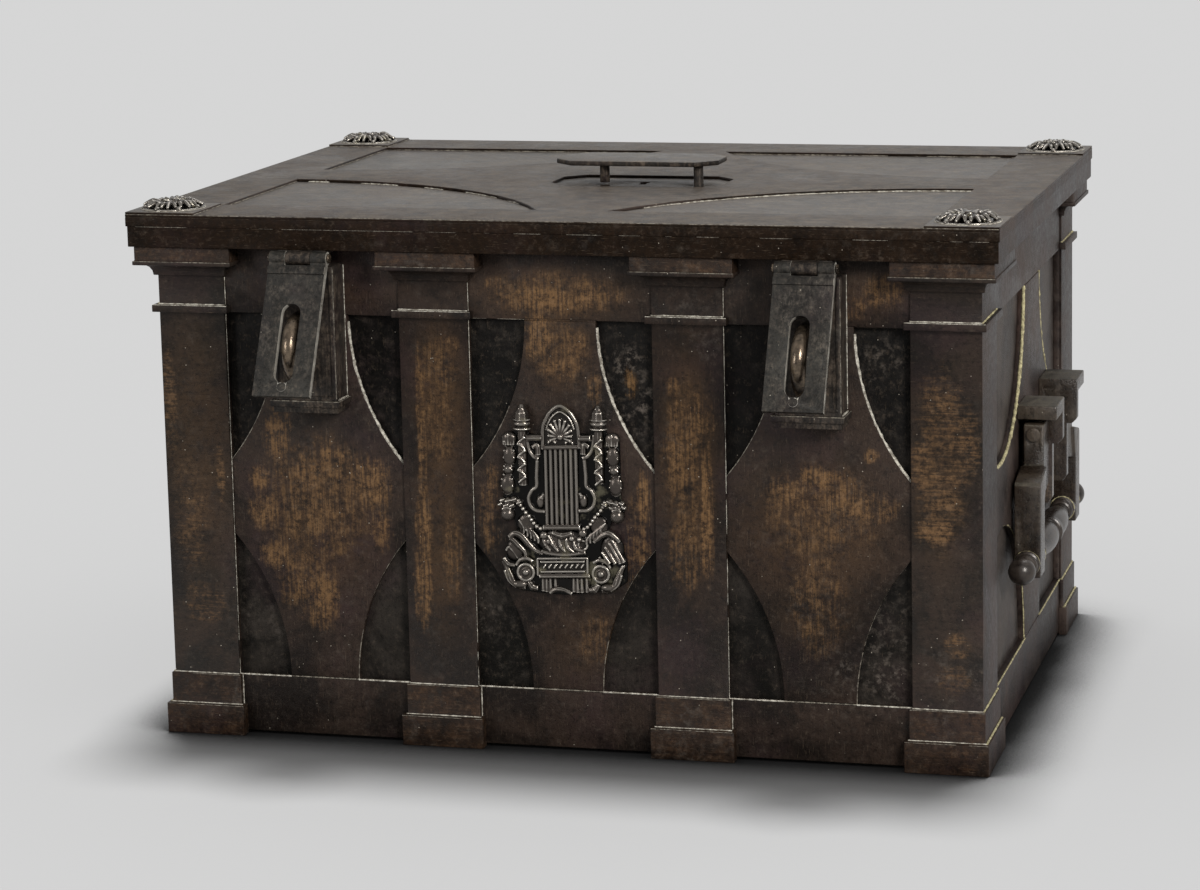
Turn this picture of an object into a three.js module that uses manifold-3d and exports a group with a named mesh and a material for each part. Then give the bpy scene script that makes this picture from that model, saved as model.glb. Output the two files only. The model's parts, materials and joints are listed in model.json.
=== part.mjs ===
// An iron armada chest: pilastered body, hinged lid with a lock, two slotted hasps and two drop handles.
// Millimetres, +Z up, the front towards -Y, the origin at the middle of the underside.
import * as THREE from 'three';
import { mergeVertices } from 'three/addons/utils/BufferGeometryUtils.js';
import Module from 'manifold-3d';

const wasm = await Module();
wasm.setup();

// Lid
const lidWidth = 850;
const lidDepth = 640;
const lidUnderside = 488;
const lidBandHeight = 20;
const lidBandInset = 1.2;
const lidSlabThickness = 9;
const lidSeatWidth = 12;
const lidSeatGap = 0.3;
const frameThickness = 3;
const frameBorderX = 70;
const frameBorderY = 78;
const frameSideNeck = 80;
const frameFrontNeck = 70;
const cornerPlateWidth = 70;
const cornerPlateDepth = 74;
const cornerPlateThickness = 2;
const rosetteRadius = 31;
const rosetteHeight = 9;
const rosettePetals = 8;

// Keyhole cover: a plate that drops into its recess on a pivot post and swings aside on it
const coverX = 9;
const coverY = -14;
const coverWidth = 170;
const coverDepth = 76;
const coverThickness = 5;
const coverCorner = 20;
const coverPivotX = 73;
const coverCatchX = -25;
const coverPostY = -33;
const coverPostRadius = 5;
const coverCollarRadius = 8;
const coverCollarHeight = 3;
const coverRise = 22;
const coverSinkMargin = 5;
const keyholeRadius = 5.5;
const keyholeSlotWidth = 7;
const keyholeSlotLength = 15;

// Body
const overhangFront = 26;
const overhangSide = 20.5;
const overhangBack = 8;
const shaftProudFront = 3;
const shaftProudSide = 2;
const shaftProudBack = 8;
const panelThickness = 7;
const panelLift = 3;
const wallThickness = 5;
const floorThickness = 6;
const rimThickness = 6;
const rimWidth = 26;

// Pilasters and their mouldings
const pilasterWidth = 69;
const cornerPilasterWidth = 67.5;
const sidePilasterWidth = 84;
const innerPilasterX = 125;
const footHeight = 30;
const footOverhang = 6.5;
const plinthHeight = 60;
const plinthOverhang = 2.5;
const friezeHeight = 66;
const bandHeight = 7;
const bandOverhang = 5;
const capitalHeight = 30;
const capitalBlockHeight = 14;
const capitalOverhang = 15;
const beadHeight = 4;
const beadOverhang = 16.5;
const cavettoStart = 3;
const cavettoEnd = 12;
const cavettoSteps = 4;
const frontOverhangGain = 1.4;
const backOverhangGain = 0.5;

// Curved fields between the pilasters
const neckHalfFront = 35;
const neckHalfSide = 50;
const sideShift = 18;
const upperArcDrop = 146;
const lowerArcRise = 143;
const arcSteps = 10;
const neckGrooveHeight = 2;
const neckGrooveDepth = 1.2;
const grooveLap = 2;

// Hasps, lock boxes and staples
const haspX = 246;
const haspWidth = 57;
const haspThickness = 6;
const haspLength = 137;
const haspTilt = 26;
const haspKnuckleRadius = 6.5;
const haspPinRadius = 3;
const haspMiddleKnuckle = 24.6;
const haspBarTop = 10;
const haspBarHeight = 7;
const haspBarProud = 2.5;
const haspRivetRadius = 4.5;
const haspRivetProud = 1;
const slotWidth = 19;
const slotStart = 46;
const slotEnd = 124;
const leafWidth = 48;
const leafThickness = 4;
const leafDepth = 23;
const lockBoxWidth = 62;
const lockBoxProud = 31;
const lockBoxTopDrop = 15;
const lockBoxRim = 4;
const lockBoxSink = 1.5;
const ledgeStep = 6;
const ledgeOverhang = 4;
const ledgeLowerOverhang = 1.5;
const haspBoxGap = 0.5;
const stapleRadius = 7;
const stapleTopDrop = 57.5;
const stapleSpan = 56;
const stapleReach = 46;
const stapleEmbed = 20;

// Carrying handles
const bracketHalfGap = 46;
const cheekThickness = 13;
const bracketReach = 39.5;
const roofTop = 310;
const roofThickness = 14;
const roofLength = 55;
const cheekHeight = 32;
const tongueReach = 29;
const tongueHeight = 61;
const handlePinDrop = 15;
const handlePinRadius = 5;
const handleClearance = 3.5;
const armWidth = 26;
const armUpperWidth = 20;
const armInset = 5;
const armUpperDepth = 36;
const armLowerOffset = 48;
const armLowerDepth = 30;
const armShoulderDrop = 31;
const armShoulderSlope = 9;
const armLength = 135;
const armEndRadius = 10;
const gripDrop = 120;
const gripRadius = 15;
const gripNeckRadius = 8.5;
const gripTenonRadius = 6;
const ballRadius = 13.5;

// Rear hinges
const rearHingeInset = 87;
const rearHingeWidth = 70;
const rearKnuckleRadius = 7;
const rearPinRadius = 4;
const rearHingeOffset = 8.5;
const rearMiddleKnuckle = 24;
const bodyLeafThickness = 6;
const bodyLeafHeight = 84;
const lidLeafThickness = 5;
const lidLeafHeight = 17;
const lidLeafRise = 8;

// Lock under the lid
const lockX = 10;
const lockY = -7;
const lockPlateLength = 640;
const lockPlateWidth = 84;
const lockPlateThickness = 4;
const lockPlateDrop = 18.5;
const lockLegSize = 16;
const lockLegX = [-300, -120, 120, 300];
const camRadius = 34;
const camThickness = 7.5;
const camPinRadius = 4;
const camPinOrbit = 17.7;
const camPinLength = 8.3;
const camPinAngle = 45;
const hubRadius = 9;
const keySocket = 8;
const keySocketDepth = 20;
const boltWidth = 24;
const boltThickness = 8;
const boltOffset = 15;
const boltTipGap = 6;
const boltTailLength = 22;
const boltSlotPlay = 1.2;
const boltGuideX = [-320, -110, 110, 320];
const guideWall = 4;
const guideLength = 14;

// Clearances
const runningGap = 0.5;
const pinGap = 0.3;

// The lyre mount
const lyreBottom = 152;
const lyreHeight = 190;
const lyreHalfWidth = 64;
const lyreBack = 3;
const lyreRelief = 7;
const stringCount = 7;

// Places worked out from the sizes above
const bodyTop = lidUnderside - lidSeatGap;
const lidSlabBottom = lidUnderside + lidBandHeight;
const lidSlabTop = lidSlabBottom + lidSlabThickness;
const lidTop = lidSlabTop + frameThickness;
const lidFront = -lidDepth / 2;
const lidBack = lidDepth / 2;
const lidSide = lidWidth / 2;
const shaftFront = lidFront + overhangFront;
const shaftSide = lidSide - overhangSide;
const shaftBack = lidBack - overhangBack;
const panelFront = shaftFront + shaftProudFront;
const panelSide = shaftSide - shaftProudSide;
const shellFront = panelFront + panelThickness;
const shellSide = panelSide - panelThickness;
const shellBack = shaftBack - shaftProudBack;
const innerFront = shellFront + wallThickness;
const innerSide = shellSide - wallThickness;
const innerBack = shellBack - wallThickness;
const friezeBottom = bodyTop - friezeHeight;
const cornerInnerX = shaftSide - cornerPilasterWidth;
const rearHingeX = cornerInnerX - rearHingeInset;
const sideBayFront = shaftFront + sidePilasterWidth;
const sideBayBack = shaftBack - sidePilasterWidth;
const sideMiddle = (sideBayFront + sideBayBack) / 2 + sideShift;
const wallTop = bodyTop - rimThickness;

// Finishes
const iron = (name, color, roughness, metalness) => {
  const material = new THREE.MeshStandardMaterial({ color, roughness, metalness });
  material.name = name;
  return material;
};
const darkIron = iron('dark iron', 0x33291f, 0.55, 0.7);
const panelIron = iron('rubbed panel iron', 0x3d2c1c, 0.5, 0.7);
const lidIron = iron('lid iron', 0x4a4541, 0.5, 0.7);
const castIron = iron('cast mount iron', 0x1f1e1d, 0.35, 0.8);
const wornIron = iron('worn iron', 0x4b3f34, 0.3, 0.85);
const innerIron = iron('inner iron', 0x35322f, 0.7, 0.6);

const chest = new THREE.Group();
const add = (parent, name, geometry, material) => {
  geometry.computeVertexNormals();
  const mesh = new THREE.Mesh(geometry, material);
  mesh.name = name;
  parent.add(mesh);
  return mesh;
};

// Solids
const solid = (geometry) => {
  const bare = geometry.clone();
  bare.deleteAttribute('normal');
  bare.deleteAttribute('uv');
  const merged = mergeVertices(bare, 1e-4);
  return new wasm.Manifold(new wasm.Mesh({
    numProp: 3,
    vertProperties: new Float32Array(merged.attributes.position.array),
    triVerts: new Uint32Array(merged.index.array),
  }));
};
const shapeOf = (body) => {
  const mesh = body.getMesh();
  const geometry = new THREE.BufferGeometry();
  geometry.setAttribute('position', new THREE.BufferAttribute(new Float32Array(mesh.vertProperties), 3));
  geometry.setIndex(new THREE.BufferAttribute(new Uint32Array(mesh.triVerts), 1));
  return geometry;
};
const join = (geometries) => geometries.map(solid).reduce((whole, piece) => whole.add(piece));
const carve = (body, geometries) => geometries.map(solid)
  .reduce((whole, piece) => whole.subtract(piece), body);

// Moves each point of a unit solid to its place, so that faces that touch share the same numbers.
const placed = (geometry, place) => {
  const position = geometry.attributes.position;
  for (let i = 0; i < position.count; i += 1) {
    position.setXYZ(i, ...place(position.getX(i), position.getY(i), position.getZ(i)));
  }
  return geometry;
};
const block = (x0, x1, y0, y1, z0, z1) =>
  placed(new THREE.BoxGeometry(1, 1, 1), (x, y, z) => [x < 0 ? x0 : x1, y < 0 ? y0 : y1, z < 0 ? z0 : z1]);
const outline = (points) => new THREE.Shape(points.map(([u, v]) => new THREE.Vector2(u, v)));
const extrude = (shape) => new THREE.ExtrudeGeometry(shape, { depth: 1, bevelEnabled: false });
// A shape drawn in X and Y, Y and Z, or X and Z, made solid along the third axis.
const alongZ = (shape, z0, z1) => placed(extrude(shape), (u, v, w) => [u, v, w < 0.5 ? z0 : z1]);
const alongX = (shape, x0, x1) => placed(extrude(shape), (u, v, w) => [w < 0.5 ? x0 : x1, u, v]);
const alongY = (shape, y0, y1) => placed(extrude(shape), (u, v, w) => [u, w < 0.5 ? y1 : y0, v]);
const rod = (radius, sides) => new THREE.CylinderGeometry(radius, radius, 1, sides);
const rodX = (radius, x0, x1, y, z, sides = 20) =>
  placed(rod(radius, sides), (a, b, c) => [b < 0 ? x0 : x1, y + c, z + a]);
const rodY = (radius, y0, y1, x, z, sides = 20) =>
  placed(rod(radius, sides), (a, b, c) => [x + a, b < 0 ? y0 : y1, z + c]);
const rodZ = (radius, z0, z1, x, y, sides = 20) =>
  placed(rod(radius, sides), (a, b, c) => [x + c, y + a, b < 0 ? z0 : z1]);

// Closed skin through sections of equal point counts, each wound anticlockwise seen from the last one.
// The first point of a section sees all the others, so the end faces fan out from it.
const loft = (sections) => {
  const count = sections[0].length;
  const index = [];
  const at = (section, point) => section * count + (point % count);
  const last = sections.length - 1;
  for (let s = 0; s < last; s += 1) {
    for (let p = 0; p < count; p += 1) {
      index.push([at(s, p), at(s, p + 1), at(s + 1, p + 1)]);
      index.push([at(s, p), at(s + 1, p + 1), at(s + 1, p)]);
    }
  }
  for (let p = 1; p < count - 1; p += 1) {
    index.push([at(0, 0), at(0, p + 1), at(0, p)]);
    index.push([at(last, 0), at(last, p), at(last, p + 1)]);
  }
  const points = sections.flat();
  const apart = (a, b) => points[a].some((value, axis) => Math.abs(value - points[b][axis]) > 1e-6);
  const whole = index.filter(([a, b, c]) => apart(a, b) && apart(b, c) && apart(c, a));
  const geometry = new THREE.BufferGeometry();
  geometry.setAttribute('position', new THREE.Float32BufferAttribute(points.flat(), 3));
  geometry.setIndex(whole.flat());
  return geometry;
};

// Points on the arc that leaves start along tangent and ends at end.
const tangentArc = (start, tangent, end) => {
  const dx = end[0] - start[0];
  const dy = end[1] - start[1];
  const along = dx * tangent[0] + dy * tangent[1];
  const normal = [dx - along * tangent[0], dy - along * tangent[1]];
  const across = Math.hypot(...normal);
  const side = normal.map((value) => value / across);
  const radius = (along * along + across * across) / (2 * across);
  const sweep = Math.atan2(along, radius - across);
  return Array.from({ length: arcSteps + 1 }, (_, i) => {
    const angle = (sweep * i) / arcSteps;
    const t = radius * Math.sin(angle);
    const n = radius * (1 - Math.cos(angle));
    return [start[0] + t * tangent[0] + n * side[0], start[1] + t * tangent[1] + n * side[1]];
  });
};

// The four curved cut-outs of one bay: edge to edge, with a neck at its top and its foot.
const bayCutouts = (low, high, middle, neckHalf) => {
  const cutouts = [];
  for (const edge of [low, high]) {
    const neck = middle + Math.sign(edge - middle) * neckHalf;
    for (const [z, meet] of [
      [friezeBottom, friezeBottom - upperArcDrop],
      [plinthHeight, plinthHeight + lowerArcRise],
    ]) {
      const arc = tangentArc([neck, z], [0, Math.sign(meet - z)], [edge, meet]);
      cutouts.push([[edge, z], ...arc]);
    }
  }
  return cutouts;
};

// Shell of the chest
const body = new THREE.Group();
chest.add(body);
add(body, 'floor_plate', block(-shellSide, shellSide, shellFront, shellBack, 0, floorThickness), innerIron);
const walls = {
  front_wall: [-shellSide, shellSide, shellFront, innerFront],
  back_wall: [-shellSide, shellSide, innerBack, shellBack],
  left_wall: [-shellSide, -innerSide, innerFront, innerBack],
  right_wall: [innerSide, shellSide, innerFront, innerBack],
};
for (const [name, sides] of Object.entries(walls)) {
  add(body, name, block(...sides, floorThickness, wallTop), darkIron);
}
const rectangle = (x0, x1, y0, y1) => [[x0, y0], [x1, y0], [x1, y1], [x0, y1]];
const rim = carve(solid(block(-shellSide, shellSide, shellFront, shellBack, wallTop, bodyTop)), [block(
  rimWidth + wallThickness - shellSide,
  shellSide - rimWidth - wallThickness,
  innerFront + rimWidth,
  innerBack - rimWidth,
  wallTop - 1,
  bodyTop + 1,
)]);
add(body, 'mouth_rim', shapeOf(rim), innerIron);

// Panels with their curved fields
const neckGrooves = [friezeBottom, plinthHeight].map((z) =>
  [z - neckGrooveHeight / 2, z + neckGrooveHeight / 2]);
const frontBays = [
  [-cornerInnerX, -innerPilasterX - pilasterWidth / 2],
  [pilasterWidth / 2 - innerPilasterX, innerPilasterX - pilasterWidth / 2],
  [innerPilasterX + pilasterWidth / 2, cornerInnerX],
];
const frontCuts = frontBays.flatMap(([from, to]) => {
  const middle = (from + to) / 2;
  return [
    ...bayCutouts(from, to, middle, neckHalfFront)
      .map((cutout) => alongY(outline(cutout), panelFront - 1, shellFront + 1)),
    ...neckGrooves.map(([foot, top]) => block(middle - neckHalfFront - grooveLap,
      middle + neckHalfFront + grooveLap, panelFront - 1, panelFront + neckGrooveDepth, foot, top)),
  ];
});
const frontPanel = solid(block(-panelSide, panelSide, panelFront, shellFront, panelLift, bodyTop));
add(body, 'front_panel', shapeOf(carve(frontPanel, frontCuts)), panelIron);
// Drawn for the right side and turned over for the left.
const sidePanel = () => carve(solid(block(shellSide, panelSide, shellFront, shellBack, panelLift, bodyTop)), [
  ...bayCutouts(sideBayFront, sideBayBack, sideMiddle, neckHalfSide)
    .map((cutout) => alongX(outline(cutout), shellSide - 1, panelSide + 1)),
  ...neckGrooves.map(([foot, top]) => block(panelSide - neckGrooveDepth, panelSide + 1,
    sideMiddle - neckHalfSide - grooveLap, sideMiddle + neckHalfSide + grooveLap, foot, top)),
]);
add(body, 'right_panel', shapeOf(sidePanel()), panelIron);
add(body, 'left_panel', shapeOf(sidePanel().mirror([1, 0, 0])), panelIron);

// Pilasters, each one casting from its foot to its capital
const capitalBottom = bodyTop - capitalHeight;
const blockBottom = bodyTop - capitalBlockHeight;
const beadBottom = blockBottom - beadHeight;
const cavetto = Array.from({ length: cavettoSteps + 1 }, (_, i) => {
  const angle = (Math.PI / 2) * (i / cavettoSteps);
  return [
    capitalBottom + (beadBottom - capitalBottom) * Math.sin(angle),
    cavettoStart + (cavettoEnd - cavettoStart) * (1 - Math.cos(angle)),
  ];
});
const pilasterProfile = [
  [0, footOverhang], [footHeight, footOverhang],
  [footHeight, plinthOverhang], [plinthHeight, plinthOverhang],
  [plinthHeight, 0], [friezeBottom, 0],
  [friezeBottom, bandOverhang], [friezeBottom + bandHeight, bandOverhang],
  [friezeBottom + bandHeight, 0], [capitalBottom, 0],
  ...cavetto,
  [beadBottom, beadOverhang], [blockBottom, beadOverhang],
  [blockBottom, capitalOverhang], [bodyTop, capitalOverhang],
];
const pilaster = (plan) =>
  loft(pilasterProfile.map(([z, overhang]) => plan(overhang).map(([x, y]) => [x, y, z])));
const mirrored = (points) => points.map(([x, y]) => [-x, y]).reverse();
const flatPlan = (middle) => (overhang) => rectangle(
  middle - pilasterWidth / 2 - overhang,
  middle + pilasterWidth / 2 + overhang,
  shaftFront - overhang * frontOverhangGain,
  panelFront,
);
const frontCornerPlan = (overhang) => [
  [panelSide, panelFront],
  [cornerInnerX - overhang, panelFront],
  [cornerInnerX - overhang, shaftFront - overhang * frontOverhangGain],
  [shaftSide + overhang, shaftFront - overhang * frontOverhangGain],
  [shaftSide + overhang, sideBayFront + overhang],
  [panelSide, sideBayFront + overhang],
];
const backCornerPlan = (overhang) => [
  [panelSide, shellBack],
  [panelSide, sideBayBack - overhang],
  [shaftSide + overhang, sideBayBack - overhang],
  [shaftSide + overhang, shaftBack + overhang * backOverhangGain],
  [cornerInnerX - overhang, shaftBack + overhang * backOverhangGain],
  [cornerInnerX - overhang, shellBack],
];
const turned = (plan) => (overhang) => {
  const points = mirrored(plan(overhang));
  return [points.at(-1), ...points.slice(0, -1)];
};
for (const [name, plan] of [
  ['pilaster_front_left', turned(frontCornerPlan)],
  ['pilaster_front_inner_left', flatPlan(-innerPilasterX)],
  ['pilaster_front_inner_right', flatPlan(innerPilasterX)],
  ['pilaster_front_right', frontCornerPlan],
  ['pilaster_back_left', turned(backCornerPlan)],
  ['pilaster_back_right', backCornerPlan],
]) {
  add(body, name, pilaster(plan), panelIron);
}

// Lock boxes and the round staples in them
const boxFront = panelFront - lockBoxProud;
const hingeZ = lidUnderside - haspKnuckleRadius;
const hingeY = boxFront - haspBoxGap - haspThickness / 2;
const boxTop = lidUnderside - lockBoxTopDrop;
const ledgeTop = hingeZ - haspLength - 3 * haspBoxGap;
const stapleTop = hingeZ - stapleTopDrop;
const stapleFoot = stapleTop - stapleSpan;
const lockBox = (middle) => {
  const half = lockBoxWidth / 2;
  const holes = [stapleTop, stapleFoot].map((z) =>
    rodY(stapleRadius + pinGap, boxFront - 1, boxFront + lockBoxSink + stapleEmbed, middle, z));
  const sink = block(middle - half + lockBoxRim, middle + half - lockBoxRim,
    boxFront - 1, boxFront + lockBoxSink, ledgeTop + lockBoxRim, boxTop - lockBoxRim);
  return carve(join([
    block(middle - half, middle + half, boxFront, panelFront, ledgeTop - ledgeStep, boxTop),
    block(middle - half - ledgeOverhang, middle + half + ledgeOverhang,
      boxFront - ledgeOverhang, panelFront, ledgeTop - ledgeStep, ledgeTop),
    block(middle - half - ledgeLowerOverhang, middle + half + ledgeLowerOverhang,
      boxFront - ledgeLowerOverhang, panelFront, ledgeTop - 2 * ledgeStep, ledgeTop - ledgeStep),
  ]), [sink, ...holes]);
};
const staple = (middle) => {
  const bend = stapleSpan / 2;
  const centreY = boxFront - stapleReach + bend + stapleRadius;
  const centreZ = (stapleTop + stapleFoot) / 2;
  const root = boxFront + lockBoxSink + stapleEmbed - runningGap;
  const bends = 12;
  const stations = [[root, stapleTop, -Math.PI / 2]];
  for (let i = 0; i <= bends; i += 1) {
    const angle = Math.PI / 2 + (Math.PI * i) / bends;
    stations.push([centreY + bend * Math.cos(angle), centreZ + bend * Math.sin(angle), angle - Math.PI]);
  }
  stations.push([root, stapleFoot, Math.PI / 2]);
  const sides = 14;
  return loft(stations.map(([y, z, angle]) => Array.from({ length: sides }, (_, i) => {
    const turn = (2 * Math.PI * i) / sides;
    const out = stapleRadius * Math.cos(turn);
    return [
      middle - stapleRadius * Math.sin(turn),
      y - out * Math.cos(angle),
      z - out * Math.sin(angle),
    ];
  })));
};
for (const [name, middle] of [['left', -haspX], ['right', haspX]]) {
  add(body, `lock_box_${name}`, shapeOf(lockBox(middle)), darkIron);
  add(body, `staple_${name}`, staple(middle), wornIron);
}

// The cast lyre on the middle field, drawn in shares of its half width and of its height
const acrossLyre = (share) => share * lyreHalfWidth;
const upLyre = (share) => lyreBottom + share * lyreHeight;
const disc = (x, z, radius, front) => rodY(radius, front, panelFront + 1, x, z, 18);
const bump = (x, z, radiusX, radiusZ, height) =>
  new THREE.SphereGeometry(1, 10, 6).scale(radiusX, height, radiusZ).translate(x, panelFront - lyreBack, z);
const lyreMount = () => {
  const face = panelFront - lyreBack;
  const relief = face - lyreRelief;
  const columnX = acrossLyre(0.6);
  const columnRadius = acrossLyre(0.09);
  const half = [
    [0, 0], [0.22, 0.01], [0.47, 0.04], [0.81, 0.03], [0.97, 0.1], [1, 0.19],
    [0.88, 0.26], [0.97, 0.33], [0.94, 0.47], [1, 0.63], [0.91, 0.79],
    [0.72, 0.885], [0.6, 0.995], [0.44, 0.84], [0.31, 0.905], [0, 1],
  ];
  const left = half.slice(1, -1).map(([x, z]) => [-x, z]).reverse();
  const plate = [...half, ...left].map(([x, z]) => [acrossLyre(x), upLyre(z)]);
  const pieces = [alongY(outline(plate), face, panelFront + 1)];
  for (const side of [-1, 1]) {
    pieces.push(rodZ(columnRadius, upLyre(0.2), upLyre(0.87), side * columnX, face, 14));
    pieces.push(rodZ(columnRadius * 1.35, upLyre(0.83), upLyre(0.865), side * columnX, face, 14));
    pieces.push(new THREE.ConeGeometry(columnRadius * 1.2, lyreHeight * 0.105, 14).rotateX(Math.PI / 2)
      .translate(side * columnX, face, upLyre(0.925)));
    pieces.push(disc(side * columnX, upLyre(0.14), acrossLyre(0.155), relief));
    pieces.push(disc(side * columnX, upLyre(0.14), acrossLyre(0.078), relief - columnRadius / 3));
    for (const [x, z, rx, rz] of [
      [0.81, 0.79, 0.125, 0.053], [0.875, 0.705, 0.11, 0.042], [0.86, 0.62, 0.11, 0.047],
      [0.905, 0.53, 0.125, 0.047], [0.89, 0.44, 0.11, 0.042], [0.78, 0.295, 0.19, 0.047],
      [0.845, 0.21, 0.155, 0.047], [0.345, 0.285, 0.19, 0.042], [0.75, 0.063, 0.14, 0.037],
    ]) {
      pieces.push(bump(side * acrossLyre(x), upLyre(z), acrossLyre(rx), lyreHeight * rz, lyreRelief));
    }
  }
  const archHalf = acrossLyre(0.28);
  const arch = outline([
    [-archHalf, upLyre(0.78)], [archHalf, upLyre(0.78)], [archHalf, upLyre(0.853)],
    [archHalf * 0.7, upLyre(0.937)], [0, upLyre(1)],
    [-archHalf * 0.7, upLyre(0.937)], [-archHalf, upLyre(0.853)],
  ]);
  pieces.push(alongY(arch, relief, face + 1));
  pieces.push(block(-columnX, columnX, face - lyreRelief * 0.7, face + 1, upLyre(0.82), upLyre(0.847)));
  const stringPitch = acrossLyre(0.075);
  const first = (-(stringCount - 1) / 2) * stringPitch;
  for (let i = 0; i < stringCount; i += 1) {
    const x = first + i * stringPitch;
    const stringHalf = stringPitch * 0.27;
    pieces.push(block(x - stringHalf, x + stringHalf, face - lyreRelief * 0.85, face + 1,
      upLyre(0.37), upLyre(0.785)));
  }
  pieces.push(block(-acrossLyre(0.44), acrossLyre(0.44), relief, face + 1, upLyre(0.18), upLyre(0.242)));
  pieces.push(bump(0, upLyre(0.316), acrossLyre(0.31), lyreHeight * 0.063, lyreRelief * 1.28));
  for (let i = -2; i <= 2; i += 1) {
    pieces.push(bump(acrossLyre(0.14) * i, upLyre(0.084 - Math.abs(i) * 0.01), acrossLyre(0.086),
      lyreHeight * 0.063, lyreRelief));
  }
  const behind = block(-lyreHeight, lyreHeight, panelFront, shellFront, 0, bodyTop);
  return carve(join(pieces), [behind]);
};
add(body, 'lyre_mount', shapeOf(lyreMount()), castIron);

// Carrying handle brackets and pins on both sides, and the swinging handles
const roofUnder = roofTop - roofThickness;
const pinZ = roofUnder - handlePinDrop;
const armMiddle = handleClearance + armWidth / 2;
const mirrorX = (geometry, side) => {
  if (side > 0) {
    return geometry;
  }
  return shapeOf(solid(geometry).mirror([1, 0, 0]));
};
const mirrorY = (geometry, end) => {
  if (end > 0) {
    return geometry;
  }
  return shapeOf(solid(geometry).mirror([0, 1, 0]));
};
// Drawn for the back end of the right side: x from the panel's face, y from the middle of the bay.
const bracket = () => {
  const cheek = outline([
    [0, roofTop], [0, pinZ + handlePinDrop - cheekHeight - tongueHeight],
    [tongueReach - 4, roofUnder - cheekHeight - tongueHeight],
    [tongueReach, roofUnder - cheekHeight - tongueHeight + 6],
    [tongueReach, roofUnder - cheekHeight],
    [bracketReach - 5, roofUnder - cheekHeight],
    [bracketReach, roofUnder - cheekHeight + 5],
    [bracketReach, roofTop],
  ]);
  return shapeOf(carve(join([
    alongY(cheek, bracketHalfGap, bracketHalfGap + cheekThickness),
    block(0, bracketReach, bracketHalfGap, bracketHalfGap + roofLength, roofUnder, roofTop),
  ]), [
    rodY(handlePinRadius + pinGap, bracketHalfGap - 1, bracketHalfGap + cheekThickness + 1, armMiddle, pinZ),
  ]));
};
const armStart = bracketHalfGap + cheekThickness + armInset;
const armLowerStart = armStart + armLowerOffset;
const armEnd = armLowerStart + armLowerDepth;
const gripZ = pinZ - gripDrop;
const arm = () => {
  const shoulder = pinZ - armShoulderDrop;
  const foot = pinZ - armLength;
  const upperEnd = armStart + armUpperDepth;
  const elbow = shoulder - armShoulderSlope;
  const upper = outline([
    [armStart, pinZ + armEndRadius], [armStart, elbow - armShoulderDrop / 2],
    [armLowerStart + armInset, foot + armLength / 2], [armEnd - armInset, elbow], [upperEnd, shoulder],
    [upperEnd, pinZ + armEndRadius],
  ]);
  const lower = outline([
    [armLowerStart, foot], [armEnd, foot], [armEnd, elbow - 3], [armEnd - 3, elbow],
    [upperEnd, shoulder], [armLowerStart - armInset, elbow - armShoulderDrop / 2],
    [armLowerStart, foot + armLength / 2],
  ]);
  return shapeOf(carve(join([
    alongX(upper, armMiddle - armUpperWidth / 2, armMiddle + armUpperWidth / 2),
    alongX(lower, armMiddle - armWidth / 2, armMiddle + armWidth / 2),
  ]), [
    rodY(handlePinRadius + pinGap, armStart - 1, upperEnd + 1, armMiddle, pinZ),
    rodY(gripTenonRadius + pinGap, armLowerStart - 1, armEnd + 1, armMiddle, gripZ),
  ]));
};
const handlePin = () => {
  const head = 3;
  const far = armStart + armUpperDepth + pinGap;
  return shapeOf(join([
    rodY(handlePinRadius, bracketHalfGap - pinGap - 0.1, far + 0.1, armMiddle, pinZ),
    rodY(handlePinRadius + 2.5, bracketHalfGap - pinGap - head, bracketHalfGap - pinGap, armMiddle, pinZ),
    rodY(handlePinRadius + 2, far, far + head, armMiddle, pinZ),
  ]));
};
const gripProfile = () => {
  const seat = armLowerStart - pinGap;
  const out = armEnd + pinGap;
  const collar = gripRadius - 2;
  return [
    [0, 0], [gripRadius + 0.5, 0], [gripRadius + 0.5, 4], [collar, 6], [gripRadius - 1, seat * 0.18],
    [gripRadius, seat * 0.32], [collar, seat * 0.5], [gripNeckRadius + 1.5, seat * 0.66],
    [gripNeckRadius, seat - 22], [collar - 1, seat - 19], [collar - 1, seat - 14],
    [gripNeckRadius + 1, seat - 11], [collar, seat - 7], [collar, seat],
    [gripTenonRadius, seat], [gripTenonRadius, out], [collar, out], [collar, out + 4],
    [gripNeckRadius + 1, out + 7], [collar - 2, out + 10], [collar - 2, out + 13],
    [gripNeckRadius - 2, out + 20], [ballRadius * 0.87, out + 28], [ballRadius, out + 35],
    [ballRadius * 0.87, out + 42], [ballRadius * 0.5, out + 47], [0, out + 48.5],
  ];
};
const grip = () => {
  const half = gripProfile();
  const near = half.slice(1).map(([radius, y]) => [radius, -y]).reverse();
  const points = [...near, ...half.slice(2)].map(([radius, y]) => new THREE.Vector2(radius, y));
  return new THREE.LatheGeometry(points, 16).translate(armMiddle, 0, gripZ);
};
for (const [sideName, side] of [['left', -1], ['right', 1]]) {
  const place = (geometry) => mirrorX(geometry.translate(panelSide, 0, 0), side).translate(0, sideMiddle, 0);
  for (const [endName, end] of [['front', -1], ['back', 1]]) {
    add(body, `handle_bracket_${sideName}_${endName}`, place(mirrorY(bracket(), end)), darkIron);
    add(body, `handle_pin_${sideName}_${endName}`, place(mirrorY(handlePin(), end)), wornIron);
    add(chest, `handle_arm_${sideName}_${endName}`, place(mirrorY(arm(), end)), darkIron);
  }
  add(chest, `handle_grip_${sideName}`, place(grip()), wornIron);
}

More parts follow.
